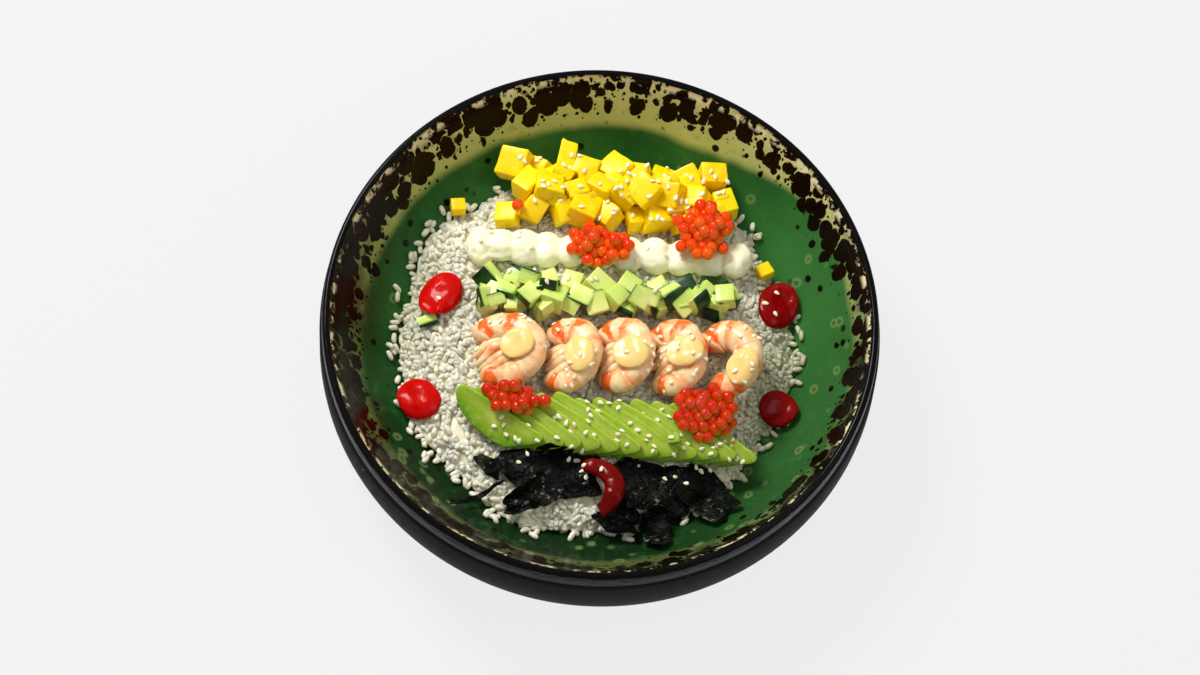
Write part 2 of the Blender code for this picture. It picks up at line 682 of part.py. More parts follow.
def sheet(low, top, name):
    """A thin closed leaf between two grids of points, both faces split into triangles alike."""
    bm = bmesh.new()
    rows, columns = len(low), len(low[0])
    under = [[bm.verts.new(point) for point in row] for row in low]
    over = [[bm.verts.new(point) for point in row] for row in top]
    for i in range(rows - 1):
        for k in range(columns - 1):
            for grid, flip in ((under, True), (over, False)):
                a, b, c, d = grid[i][k], grid[i + 1][k], grid[i + 1][k + 1], grid[i][k + 1]
                for face in ((a, b, c), (a, c, d)):
                    bm.faces.new(face[::-1] if flip else face)
    rim = [(i, 0) for i in range(rows)] + [(rows - 1, k) for k in range(1, columns)]
    rim += [(i, columns - 1) for i in range(rows - 2, -1, -1)] + [(0, k) for k in range(columns - 2, 0, -1)]
    for (i, k), (m, n) in zip(rim, rim[1:] + rim[:1]):
        bm.faces.new((under[i][k], under[m][n], over[m][n], over[i][k]))
    return mesh_of(bm, name)


def make_sauce_arc(finish):
    """The curved stroke of chilli sauce on the seaweed."""
    tree = world_tree(made)
    steps, sides = 9, 8
    rings = []
    for i in range(steps):
        along = i / (steps - 1)
        angle = ARC_START + (ARC_END - ARC_START) * along
        outward = Vector((math.cos(angle), math.sin(angle)))
        middle = ARC_MIDDLE + outward * ARC_RADIUS
        thick = ARC_THICK * math.sin(math.pi * (0.06 + 0.86 * along)) ** 0.4
        floor = max(height_at(tree, *(middle + outward * step * thick), 1 * MM) for step in (-1, 0, 1)) + GAP
        ring = []
        for k in range(sides):
            around = 2 * math.pi * k / sides
            spot = middle + outward * thick * math.cos(around)
            ring.append((spot.x, spot.y, floor + thick * 0.6 * (1 + math.sin(around))))
        rings.append(ring)
    mesh = mesh_of(loft(rings), "sauce_arc")
    lift_clear(mesh, tree)
    mesh.shade_smooth()
    add_object("sauce_arc", mesh, finish, (*ARC_MIDDLE, 0.025))


def roe_spots(length, width, upper, seed):
    """Where the eggs of one cluster lie: x and y from its middle, and the layer."""
    draw = random.Random(seed)
    spots = []
    rows = math.ceil(width * MM / EGG_PITCH) + 1
    for row in range(-rows, rows + 1):
        for column in range(-6, 7):
            u = (column + 0.5 * (row % 2)) * EGG_PITCH
            v = row * EGG_PITCH * 0.87
            ragged = 1 + draw.uniform(-0.2, 0.2)
            if math.hypot(u / (length * MM - EGG_RADIUS), v / (width * MM - EGG_RADIUS)) < ragged:
                u += draw.uniform(-0.2, 0.2) * MM
                v += draw.uniform(-0.2, 0.2) * MM
                spots.append((Vector((u, v)), 0))
    across = [spot.x for spot, _ in spots]
    along = [spot.y for spot, _ in spots]
    middle = Vector(((min(across) + max(across)) / 2, (min(along) + max(along)) / 2))
    spots = [(spot - middle, layer) for spot, layer in spots]
    inner = sorted(spots, key=lambda spot: spot[0].length)[: upper * 2]
    for flat, _ in draw.sample(inner, upper):
        spots.append((flat + Vector((0.5, 0.29)) * EGG_PITCH, 1))
    return spots


def make_roe(finish):
    """Each cluster is a low core with eggs half sunk in its top, and a few lying on those."""
    for name, x, y, length, width, upper, seed in ROE:
        tree = world_tree(made)
        centre = Vector((x, y)) * MM
        half = (length * MM - ROE_EDGE, width * MM - ROE_EDGE)
        core, _ = puddle_mesh(name, *centre, *half, 0, ROE_RISE, ROE_SAG, tree)
        top = BVHTree.FromPolygons([v.co for v in core.vertices], [list(p.vertices) for p in core.polygons])
        eggs = []
        for flat, layer in roe_spots(length, width, upper, seed):
            place = centre + flat
            height = max(height_at(top, *place) - EGG_SINK, egg_floor(tree, place) + GAP)
            middle = (*place, height + EGG_STACK * layer)
            eggs.append(ball(middle, (EGG_RADIUS,) * 3, Euler((0, 0, place.x * 900)).to_quaternion()))
        mesh = fuse(name, core, eggs)
        lift_clear(mesh, tree)
        mesh.shade_smooth()
        add_object(name, mesh, finish, (*centre, height_at(top, *centre)))
    tree = world_tree(made)
    lone = ball((*LONE_EGG, BOWL_HEIGHT), (LONE_EGG_RADIUS,) * 3, Euler((0, 0, 0)).to_quaternion())
    rest_on(lone, tree)
    lone.shade_smooth()
    add_object("roe_single", lone, finish, (*LONE_EGG, BOWL_HEIGHT))


def egg_floor(tree, spot):
    """How high an egg's middle must be to clear what is below it."""
    best = 0
    for share in (0, 0.35, 0.65, 0.9):
        for k in range(8 if share else 1):
            angle = math.pi * k / 4
            x = spot.x + share * EGG_RADIUS * math.cos(angle)
            y = spot.y + share * EGG_RADIUS * math.sin(angle)
            best = max(best, height_at(tree, x, y) + EGG_RADIUS * math.sqrt(1 - share**2))
    return best


def make_strays(finishes):
    for name, x, y, sides, turn in STRAYS:
        bm = die([side * MM for side in sides], 0.3 * MM, random.Random(len(name)))
        place = Matrix.Translation((x * MM, y * MM, 0.03)) @ Matrix.Rotation(math.radians(turn), 4, "Z")
        bmesh.ops.transform(bm, matrix=place, verts=bm.verts)
        mesh = mesh_of(bm, name)
        tree = world_tree(made)
        rest_on(mesh, tree)
        add_object(name, mesh, finishes[name.split("_")[0]], (x * MM, y * MM, 0.02))


def near(mesh, tree, margin):
    """Whether a small mesh comes closer than a margin to a tree."""
    for spot in [v.co for v in mesh.vertices]:
        if tree.find_nearest(spot, margin)[0]:
            return True
    return False


def sprinkle():
    """Sesame seeds, fused to the piece that each one lands on and clear of all others."""
    draw = random.Random(77)
    landed = {}
    whole = world_tree(made)
    trees = {piece.name: world_tree([piece]) for piece in made}
    for kind, across, along, count in SEED_ZONES:
        for _ in range(count):
            x, y = draw.uniform(*across) * MM, draw.uniform(*along) * MM
            turn = Euler((0, 0, draw.uniform(0, 3.1)))
            tops = [(height_at(trees[piece.name], x, y), piece) for piece in made]
            top, piece = max(tops, key=lambda pair: pair[0])
            hit, normal = whole.ray_cast(Vector((x, y, 2 * BOWL_HEIGHT)), Vector((0, 0, -1)))[:2]
            if not piece.name.startswith(kind) or normal.z < SEED_SLOPE:
                continue
            tilt = normal.to_track_quat("Z", "Y")
            seed = ball(hit + normal * 0.2 * MM, SEED_HALF, tilt @ turn.to_quaternion())
            others = [each for each in made if each is not piece]
            apart = landed.setdefault(piece.name, [])
            if any((hit - other).length < SEED_SPACING for other, _ in apart):
                continue
            if near(seed, world_tree(others), SEED_CLEAR):
                continue
            apart.append((hit.copy(), seed))
    for piece in made:
        seeds = [seed for _, seed in landed.get(piece.name, [])]
        if seeds:
            replace_mesh(piece, seeds)


def replace_mesh(piece, additions):
    """Fuses further meshes to a piece that is already placed."""
    core = piece.data.copy()
    core.transform(Matrix.Translation(piece.location))
    joined = fuse(piece.name, core, additions)
    joined.transform(Matrix.Translation(-piece.location))
    joined.materials.clear()
    joined.materials.append(piece.data.materials[0])
    piece.data = joined


def add_grains(rice):
    """Rice grains on the mound where nothing lies over it."""
    draw = random.Random(13)
    others = [piece for piece in made if piece is not rice]
    tree = world_tree(others)
    bowl = world_tree([made[0]])
    toppings = world_tree(others[1:])
    middles, grains = [], []
    for _ in range(GRAIN_TRIES):
        if len(grains) == GRAIN_COUNT:
            break
        angle, share = draw.uniform(0, 2 * math.pi), math.sqrt(draw.uniform(0.25, 1.05))
        radius = rice_radius(angle) * share
        x, y = radius * math.cos(angle), radius * math.sin(angle)
        turn = Euler((draw.uniform(-0.3, 0.3), draw.uniform(-0.35, 0.35), draw.uniform(0, 3.1)))
        lift = draw.uniform(-0.1, 0.7) * MM
        if any((x - px) ** 2 + (y - py) ** 2 < GRAIN_SPACING**2 for px, py in middles):
            continue
        inward = min(radius, rice_radius(angle) * 0.955) / radius
        base = rice_z(x * inward, y * inward)
        grain = ball((x, y, base + lift), GRAIN_HALF, turn.to_quaternion())
        covered = toppings.ray_cast(Vector((x, y, 2 * BOWL_HEIGHT)), Vector((0, 0, -1)))[0]
        if covered or near(grain, tree, GRAIN_CLEAR) or near(grain, bowl, GRAIN_CLEAR):
            continue
        middles.append((x, y))
        grains.append(grain)
    replace_mesh(rice, grains)
    rice.data.shade_smooth()
    rice.data.set_sharp_from_angle(angle=math.radians(50))


def main():
    for old in list(bpy.data.objects):
        bpy.data.objects.remove(old)
    stoneware = material("glazed_stoneware", (0.020, 0.110, 0.035), 0.18)
    rice_white = material("cooked_rice", (0.74, 0.72, 0.66), 0.45)
    mango_yellow = material("mango_flesh", (0.90, 0.56, 0.02), 0.38)
    cream = material("cream_cheese", (0.88, 0.85, 0.72), 0.42)
    cucumber_green = material("cucumber", (0.42, 0.60, 0.22), 0.30)
    shrimp_pink = material("cooked_shrimp", (0.80, 0.47, 0.33), 0.34)
    dollop_sauce = material("spicy_mayonnaise", (0.83, 0.48, 0.18), 0.30)
    avocado_green = material("avocado_flesh", (0.24, 0.42, 0.05), 0.36)
    chilli_red = material("chilli_sauce", (0.62, 0.010, 0.004), 0.10)
    roe_orange = material("salmon_roe", (0.78, 0.09, 0.01), 0.10)
    seaweed_black = material("nori", (0.010, 0.014, 0.008), 0.28)

    make_bowl(stoneware)
    rice = add_object("rice", rice_core(), rice_white)
    make_shrimps(shrimp_pink)
    make_cucumber(cucumber_green)
    make_cream(cream)
    make_mango(mango_yellow)
    make_avocado(avocado_green)
    make_strays({"mango": mango_yellow, "avocado": avocado_green, "cucumber": cucumber_green})
    for number, (x, y, length, width, turn) in enumerate(DOLLOPS):
        below = [piece for piece in made if piece.name.startswith(("shrimp", "rice"))]
        size = (x * MM, y * MM, length * MM, width * MM, math.radians(turn))
        puddle(f"dollop_{number + 1}", dollop_sauce, *size, DOLLOP_HEIGHT, DOLLOP_SAG, below)
    for name, x, y, length, width, turn in DROPS:
        size = (x * MM, y * MM, length * MM, width * MM, math.radians(turn))
        puddle(name, chilli_red, *size, DROP_HEIGHT, DROP_SAG, made)
    make_seaweed(seaweed_black)
    make_sauce_arc(chilli_red)
    make_roe(roe_orange)
    sprinkle()
    add_grains(rice)

    food = bpy.data.objects.new("food", None)
    bpy.context.scene.collection.objects.link(food)
    for piece in made[1:]:
        piece.parent = food


main()
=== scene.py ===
import math
import random

import bpy
import numpy as np
from mathutils import Euler, Matrix, Vector, noise
from mathutils.bvhtree import BVHTree


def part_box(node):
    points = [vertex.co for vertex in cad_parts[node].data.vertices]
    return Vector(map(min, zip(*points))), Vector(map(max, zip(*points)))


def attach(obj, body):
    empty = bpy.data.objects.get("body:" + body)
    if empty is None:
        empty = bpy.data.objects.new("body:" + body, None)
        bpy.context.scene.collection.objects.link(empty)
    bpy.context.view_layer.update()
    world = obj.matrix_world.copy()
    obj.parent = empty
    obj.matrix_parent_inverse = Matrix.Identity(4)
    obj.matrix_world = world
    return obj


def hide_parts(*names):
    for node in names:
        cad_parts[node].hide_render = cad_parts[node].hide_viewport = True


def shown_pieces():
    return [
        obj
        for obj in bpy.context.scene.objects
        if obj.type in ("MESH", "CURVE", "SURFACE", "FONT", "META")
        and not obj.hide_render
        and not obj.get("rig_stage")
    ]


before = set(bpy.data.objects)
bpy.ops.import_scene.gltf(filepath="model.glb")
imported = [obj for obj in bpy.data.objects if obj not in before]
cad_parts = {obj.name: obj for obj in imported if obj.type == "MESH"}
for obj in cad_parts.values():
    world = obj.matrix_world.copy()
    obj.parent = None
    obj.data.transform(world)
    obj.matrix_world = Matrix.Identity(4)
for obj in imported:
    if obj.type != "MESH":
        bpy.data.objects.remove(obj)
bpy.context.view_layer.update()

mm = 0.001


# helpers for objects

def pickNothing():
    if bpy.context.mode != "OBJECT":
        bpy.ops.object.mode_set(mode="OBJECT")
    bpy.ops.object.select_all(action="DESELECT")


def pick(*pieces):
    pickNothing()
    for piece in pieces:
        piece.select_set(True)
    bpy.context.view_layer.objects.active = pieces[0]


def settle(piece):
    # moves the object's place, turn and size into its mesh
    pick(piece)
    bpy.ops.object.transform_apply(location=True, rotation=True, scale=True)
    return piece


def applyModifier(piece, kind, **settings):
    pick(piece)
    made = piece.modifiers.new(kind.lower(), kind)
    for key, value in settings.items():
        setattr(made, key, value)
    bpy.ops.object.modifier_apply(modifier=made.name)


def subdivide(piece, levels):
    applyModifier(piece, "SUBSURF", levels=levels, render_levels=levels)


def joinAll(pieces):
    pick(*pieces)
    bpy.ops.object.join()
    return bpy.context.view_layer.objects.active


def copyOfNode(name):
    # a CAD node's own form, its loose triangles merged, to be refined
    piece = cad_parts[name].copy()
    piece.data = piece.data.copy()
    piece.parent = None
    for key in list(piece.keys()):
        if key.startswith("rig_"):
            del piece[key]
    bpy.context.scene.collection.objects.link(piece)
    piece.matrix_world = Matrix.Identity(4)
    pick(piece)
    bpy.ops.object.mode_set(mode="EDIT")
    bpy.ops.mesh.select_all(action="SELECT")
    bpy.ops.mesh.remove_doubles(threshold=0.00001)
    bpy.ops.object.mode_set(mode="OBJECT")
    return piece


def smooth(piece, degrees=60):
    pick(piece)
    bpy.ops.object.shade_smooth_by_angle(angle=math.radians(degrees))


def handOver(piece, name, finish, nodes=()):
    pickNothing()
    piece.name = name
    piece.data.name = name
    piece.data.materials.clear()
    piece.data.materials.append(finish.material)
    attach(piece, "root")
    if nodes:
        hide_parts(*nodes)
    return piece


def joinCopies(name, protos, places):
    # one mesh from many small copies: places holds (which proto, 4x4 matrix, tint)
    points, corners, sizes, tints, inner = [], [], [], [], []
    start = 0
    tables = []
    for proto in protos:
        co = np.empty(len(proto.vertices) * 3)
        proto.vertices.foreach_get("co", co)
        loops = np.empty(len(proto.loops), dtype=np.int64)
        proto.loops.foreach_get("vertex_index", loops)
        totals = np.empty(len(proto.polygons), dtype=np.int64)
        proto.polygons.foreach_get("loop_total", totals)
        layer = proto.attributes.get("radial")
        radial = np.zeros(len(proto.vertices))
        if layer:
            layer.data.foreach_get("value", radial)
        tables.append((co.reshape(-1, 3), loops, totals, radial))
    for which, place, tint in places:
        co, loops, totals, radial = tables[which]
        turn = np.array(place)
        points.append(co @ turn[:3, :3].T + turn[:3, 3])
        corners.append(loops + start)
        sizes.append(totals)
        tints.append(np.full(len(co), tint))
        inner.append(radial)
        start += len(co)
    points, corners = np.concatenate(points), np.concatenate(corners)
    sizes, tints, inner = np.concatenate(sizes), np.concatenate(tints), np.concatenate(inner)
    mesh = bpy.data.meshes.new(name)
    mesh.vertices.add(len(points))
    mesh.vertices.foreach_set("co", points.ravel())
    mesh.loops.add(len(corners))
    mesh.loops.foreach_set("vertex_index", corners)
    mesh.polygons.add(len(sizes))
    mesh.polygons.foreach_set("loop_start", np.concatenate([[0], np.cumsum(sizes)[:-1]]))
    mesh.update(calc_edges=True)
    mesh.attributes.new("tint", "FLOAT", "POINT").data.foreach_set("value", tints)
    mesh.attributes.new("radial", "FLOAT", "POINT").data.foreach_set("value", inner)
    mesh.validate()
    mesh.shade_smooth()
    piece = bpy.data.objects.new(name, mesh)
    bpy.context.scene.collection.objects.link(piece)
    return piece


def takeMesh(piece):
    # keeps a modelled piece's mesh as something to copy
    mesh = piece.data.copy()
    bpy.data.objects.remove(piece)
    return mesh


def swell(piece, amount):
    # moves each point along its normal; amount is a function of its place, in metres
    places = [v.co.copy() for v in piece.data.vertices]
    normals = [v.normal.copy() for v in piece.data.vertices]
    moved = np.array([p + n * amount(p) for p, n in zip(places, normals)])
    piece.data.vertices.foreach_set("co", moved.ravel())
    piece.data.update()


def treeOf(objects):
    points, faces = [], []
    for piece in objects:
        base = len(points)
        points += [piece.matrix_world @ v.co for v in piece.data.vertices]
        faces += [[base + i for i in face.vertices] for face in piece.data.polygons]
    return BVHTree.FromPolygons(points, faces)


def dropOn(tree, x, y, high=0.2):
    return tree.ray_cast(Vector((x, y, high)), Vector((0, 0, -1)))


def tone(red, green, blue):
    # a colour as a screen shows it, made linear
    return tuple(((c / 255 + 0.055) / 1.055) ** 2.4 if c > 10 else c / 255 / 12.92 for c in (red, green, blue))


# helpers for finishes

class Wire:
    def __init__(self, finish, socket):
        self.finish, self.socket = finish, socket

    def calc(self, kind, *values):
        return self.finish.node("ShaderNodeMath", {"operation": kind}, dict(enumerate(values)))

    def other(self, out):
        return Wire(self.finish, self.socket.node.outputs[out])

    def __add__(self, value):
        return self.calc("ADD", self, value)

    def __radd__(self, value):
        return self.calc("ADD", value, self)

    def __sub__(self, value):
        return self.calc("SUBTRACT", self, value)

    def __rsub__(self, value):
        return self.calc("SUBTRACT", value, self)

    def __mul__(self, value):
        return self.calc("MULTIPLY", self, value)

    def __rmul__(self, value):
        return self.calc("MULTIPLY", value, self)

    def __truediv__(self, value):
        return self.calc("DIVIDE", self, value)

    def __pow__(self, value):
        return self.calc("POWER", self, value)

    def atMost(self, value):
        return self.calc("MINIMUM", self, value)

    def atLeast(self, value):
        return self.calc("MAXIMUM", self, value)


class Finish:
    def __init__(self, name, fixed):
        self.material = bpy.data.materials.new(name)
        self.material.use_nodes = True
        self.tree = self.material.node_tree
        self.shader = self.tree.nodes["Principled BSDF"]
        for label, value in {"Specular IOR Level": 0.28, **fixed}.items():
            self.plug(self.shader.inputs[label], value)
        self.place = self.node("ShaderNodeTexCoord", out="Object")

    def plug(self, socket, value):
        if isinstance(value, Wire):
            self.tree.links.new(value.socket, socket)
        elif isinstance(value, tuple) and len(value) == 3 and socket.type == "RGBA":
            socket.default_value = (*value, 1)
        else:
            socket.default_value = value

    def node(self, kind, settings=None, values=None, out=0):
        made = self.tree.nodes.new(kind)
        for key, value in (settings or {}).items():
            if key == "stops":
                stops = made.color_ramp.elements
                while len(stops) < len(value):
                    stops.new(0.5)
                for stop, (at, colour) in zip(stops, value):
                    stop.position, stop.color = at, (*colour, 1)
            else:
                setattr(made, key, value)
        for key, value in (values or {}).items():
            self.plug(made.inputs[key], value)
        return Wire(self, made.outputs[out])

    def feed(self, label, value):
        self.plug(self.shader.inputs[label], value)

    def noise(self, scale, detail=2.0, rough=0.5, at=None, out=0):
        values = {"Vector": at or self.place, "Scale": scale, "Detail": detail, "Roughness": rough}
        return self.node("ShaderNodeTexNoise", {}, values, out)

    def cells(self, scale, at=None, feature="F1"):
        values = {"Vector": at or self.place, "Scale": scale}
        return self.node("ShaderNodeTexVoronoi", {"feature": feature}, values)

    def fade(self, value, low, high):
        # 0 below low, 1 above high, smooth between
        values = {0: value, 1: low, 2: high}
        return self.node("ShaderNodeMapRange", {"interpolation_type": "SMOOTHSTEP"}, values)

    def mix(self, factor, first, second):
        return self.node("ShaderNodeMix", {"data_type": "RGBA"}, {0: factor, 6: first, 7: second}, 2)

    def split(self, vector=None):
        x = self.node("ShaderNodeSeparateXYZ", {}, {0: vector or self.place})
        return x, x.other(1), x.other(2)

    def shift(self, amount, scale, at=None):
        # the place, moved about by noise, so that patterns lose their regular edges
        wander = self.noise(scale, 2, at=at, out=1)
        middle = self.node("ShaderNodeVectorMath", {"operation": "SUBTRACT"}, {0: wander, 1: (0.5, 0.5, 0.5)})
        sized = self.node("ShaderNodeVectorMath", {"operation": "SCALE"}, {0: middle, "Scale": amount})
        return self.node("ShaderNodeVectorMath", {"operation": "ADD"}, {0: at or self.place, 1: sized})

    def attribute(self, name):
        return self.node("ShaderNodeAttribute", {"attribute_name": name}, out="Fac")

    def bump(self, height, strength, distance):
        values = {"Height": height, "Strength": strength, "Distance": distance}
        self.feed("Normal", self.node("ShaderNodeBump", {}, values))


# camera, light and floor

stageSet = {
    "elevation": 66, "distance": 1.5, "lift": 0.052, "roll": 5, "lens": 109.2, "shiftX": -0.001, "shiftY": -0.0179,
    "worldStrength": 0.38, "keyPower": 29, "fillPower": 4, "floorTone": (0.07, 0.07, 0.07), "floorGlow": 0.81,
}


def makeStage():
    scene = bpy.context.scene
    tilt = math.radians(stageSet["elevation"])
    data = bpy.data.cameras.new("camera")
    data.lens, data.sensor_width = stageSet["lens"], 36
    data.shift_x, data.shift_y = stageSet["shiftX"], stageSet["shiftY"]
    camera = bpy.data.objects.new("camera", data)
    scene.collection.objects.link(camera)
    camera.location = (0, -stageSet["distance"] * math.cos(tilt), stageSet["distance"] * math.sin(tilt) + stageSet["lift"])
    look = Euler((math.pi / 2 - tilt, 0, 0)).to_matrix() @ Matrix.Rotation(math.radians(stageSet["roll"]), 3, "Z")
    camera.rotation_euler = look.to_euler()
    scene.camera = camera
    scene.view_settings.view_transform = "Standard"

    world = bpy.data.worlds.new("studio")
    scene.world = world
    world.use_nodes = True
    sky = world.node_tree.nodes["Background"]
    sky.inputs["Color"].default_value = (1, 1, 1, 1)
    sky.inputs["Strength"].default_value = stageSet["worldStrength"]

    for name, spot, size, power in (
        ("key", (-0.75, 0.85, 1.25), 0.55, stageSet["keyPower"]),
        ("fill", (0.95, -0.2, 1.3), 0.9, stageSet["fillPower"]),
    ):
        light = bpy.data.lights.new(name, "AREA")
        light.energy, light.size = power, size
        lamp = bpy.data.objects.new(name, light)
        scene.collection.objects.link(lamp)
        lamp.location = spot
        lamp.rotation_euler = (-Vector(spot)).to_track_quat("-Z", "Y").to_euler()

    pickNothing()
    bpy.ops.mesh.primitive_grid_add(x_subdivisions=8, y_subdivisions=8, size=8, location=(0, 0, 0))
    floor = bpy.context.object
    floor.name = "floor"
    finish = Finish("pale floor", {"Roughness": 0.9, "Specular IOR Level": 0.0, "Base Color": stageSet["floorTone"],
                                   "Emission Color": (1.0, 1.0, 1.0), "Emission Strength": stageSet["floorGlow"]})
    floor.data.materials.append(finish.material)
    floor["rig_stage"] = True
    print("stage ready")


# the bowl

bowl = {
    "rim": 115, "height": 52, "lip": 3.4, "floor": 10, "power": 6.4, "band": 9, "body": 116.6, "belly": 28,
    "foot": 88, "footWidth": 10, "recess": 3, "around": 180, "inside": 34,
    "ground": tone(40, 96, 38), "light": tone(58, 118, 52), "deep": tone(14, 38, 16), "olive": tone(184, 188, 104),
    "pale olive": tone(212, 208, 138), "speck": tone(16, 6, 3), "beige": tone(236, 220, 172), "rust": tone(52, 30, 14),
    "body tone": tone(34, 33, 33),
}


def bowlZ(radius):
    inner = (bowl["rim"] - bowl["lip"]) * mm
    rise = (bowl["height"] - bowl["floor"]) * mm
    return bowl["floor"] * mm + rise * min(radius / inner, 1.0) ** bowl["power"]


def bowlProfile():
    rim, lip, height = bowl["rim"], bowl["lip"], bowl["height"]
    inner = rim - lip
    line = []
    for k in range(1, bowl["inside"]):
        radius = inner * (k / bowl["inside"]) ** 0.55 * 0.985
        line.append((radius, bowlZ(radius * mm) / mm))
    line.append((inner * 0.985, bowlZ(inner * 0.985 * mm) / mm))
    for k in range(9):
        angle = math.pi * (1 - k / 8)
        line.append((rim - lip / 2 + lip / 2 * math.cos(angle), height - lip / 2 + lip / 2 * math.sin(angle)))
    line += [(rim + 0.15, height - bowl["band"] * 0.5), (rim + 0.3, height - bowl["band"])]
    line += [(rim + 0.75, height - bowl["band"] - 0.35), (rim + 1.2, height - bowl["band"] - 1)]
    reach = bowl["body"] - bowl["foot"]
    for k in range(15):
        angle = math.pi / 2 * k / 14
        line.append((bowl["foot"] + reach * math.cos(angle), bowl["belly"] - (bowl["belly"] - 1) * math.sin(angle)))
    foot, inside = bowl["foot"], bowl["foot"] - bowl["footWidth"]
    line += [(foot - 0.4, 0.25), (foot - 1, 0), (inside, 0), (inside - bowl["recess"], bowl["recess"]), (30, bowl["recess"])]
    return line


def glazeFinish():
    glaze = Finish("speckled green glaze", {"IOR": 1.3, "Specular IOR Level": 0.1})
    x, y, z = glaze.split()
    radius = (x * x + y * y) ** 0.5
    depth = bowl["height"] * mm - z
    inside = 1 - glaze.fade(radius, 0.1131, 0.1138)
    far = glaze.fade(y, -0.02, 0.085)
    left = glaze.fade(x * -1, 0.01, 0.10)
    right = glaze.fade(x, 0.02, 0.10) * (1 - glaze.fade(y, 0.06, 0.11))
    broad = glaze.noise(22, 3, 0.55)
    slow = glaze.noise(9, 2)

    # the green pool, darker on the near side, with a paler band below the rim
    pool = glaze.mix(glaze.fade(broad, 0.35, 0.65), bowl["ground"], bowl["light"])
    pool = glaze.mix(glaze.fade(slow, 0.45, 0.7) * 0.5, pool, bowl["deep"])
    near = 1 - glaze.fade(y, -0.07, -0.02)
    pool = glaze.mix((1 - far) * (0.72 + near * 0.26), pool, bowl["deep"])
    # painted light: the right inner wall, turned to the lamp, is made a lighter green
    pool = glaze.mix(right * 0.4, pool, tone(66, 128, 62))
    pool = glaze.mix(glaze.fade(glaze.noise(140, 4, 0.65), 0.5, 0.75) * 0.35, pool, bowl["light"])
    reach = 0.0228 + (broad - 0.5) * 0.008 - right * 0.010
    band = (1 - glaze.fade(depth - reach, -0.003, 0.0015)) * (far * 0.85 + 0.15)
    olive = glaze.mix(glaze.fade(depth, 0.004, 0.02), bowl["pale olive"], bowl["olive"])
    pool = glaze.mix(band * 0.95, pool, olive)
    rust = glaze.fade(glaze.noise(26, 3, 0.6), 0.50, 0.66) * left * (1 - glaze.fade(depth, 0.018, 0.036))
    pool = glaze.mix(rust * 0.6, pool, bowl["rust"])

    # pale pits, each with a dark middle that is painted shade in its hollow
    pits = glaze.cells(92, glaze.shift(0.004, 90))
    chosen = glaze.fade(pits.other(1), 0.40 - right * 0.25, 0.46 - right * 0.25) * (1 - band * 0.7)
    pool = glaze.mix((1 - glaze.fade(pits, 0.12, 0.28)) * chosen * 0.42, pool, tone(140, 166, 98))
    pool = glaze.mix((1 - glaze.fade(pits, 0.09, 0.15)) * chosen * 0.6, pool, tone(34, 44, 20))

    # beige close to the lip
    web = 1 - glaze.fade(glaze.cells(150, glaze.shift(0.004, 160), "DISTANCE_TO_EDGE"), 0.05, 0.15)
    net = (1 - glaze.fade(depth, 0.002, 0.0065)) * web.atLeast(glaze.fade(glaze.noise(150, 3, 0.6) - far * 0.05, 0.50, 0.62))
    pool = glaze.mix(net * 0.7 * (far * 0.5 + 0.5), pool, bowl["beige"])

    # dark specks in three sizes, crowded at the rim and sparse below
    place = glaze.shift(0.0018, 260, glaze.node("ShaderNodeMapping", {}, {"Vector": glaze.place, "Scale": (1, 1, 0.62)}))
    ragged = depth + (glaze.noise(34, 2) - 0.5) * 0.016 + (slow - 0.5) * 0.008
    extent = 0.0265 + left * 0.005
    crowd = 1 - glaze.fade(ragged / extent, 0.40, 1.0)
    thick = crowd * (0.64 + left * 0.03)
    specks = 0.0
    for scale, most, least in ((132, 0.98, 0.06), (235, 0.60, 0.02), (420, 0.46, 0.0)):
        cell = glaze.cells(scale, place)
        edge = thick * most * (cell.other(1) * 0.7 + 0.66) - least * (1 - crowd)
        spot = 1 - glaze.fade(cell - edge, -0.03, 0.02)
        specks = spot.atLeast(specks) if specks else spot
    few = glaze.cells(150, glaze.place)
    rare = glaze.fade(few.other(1), 0.60, 0.63) * (1 - glaze.fade(few, 0.20, 0.30)) * (1 - glaze.fade(ragged / extent, 0.95, 1.3))
    streaks = glaze.noise(75, 3, 0.6, glaze.node("ShaderNodeMapping", {}, {"Vector": glaze.place, "Scale": (1, 1, 0.3)}))
    streaks = glaze.fade(streaks, 0.48, 0.58) * (1 - far) * (1 - glaze.fade(ragged, 0.006, 0.020)) * 0.85
    specks = specks.atLeast(rare).atLeast(streaks)
    speck = glaze.mix(glaze.fade(glaze.noise(60, 2), 0.5, 0.7) * left * 0.5, bowl["speck"], tone(40, 15, 8))
    colour = glaze.mix(specks, pool, speck)

    # bare flecks along the lip, which also paint the thin highlight line just under it
    lipFleckAndHighlight = glaze.fade(glaze.noise(190, 3, 0.6), 0.50, 0.58) * (1 - glaze.fade(depth, 0.0022, 0.0046)) * glaze.fade(depth, 0.0008, 0.0014)
    colour = glaze.mix(lipFleckAndHighlight * inside, colour, bowl["beige"])

    # near the eater the lip's black runs further down
    lipDark = (1 - far) * (1 - glaze.fade(depth + (broad - 0.5) * 0.004, 0.0035, 0.0075)) * (1 - lipFleckAndHighlight)
    colour = glaze.mix(lipDark * 0.9, colour, tone(14, 11, 9))

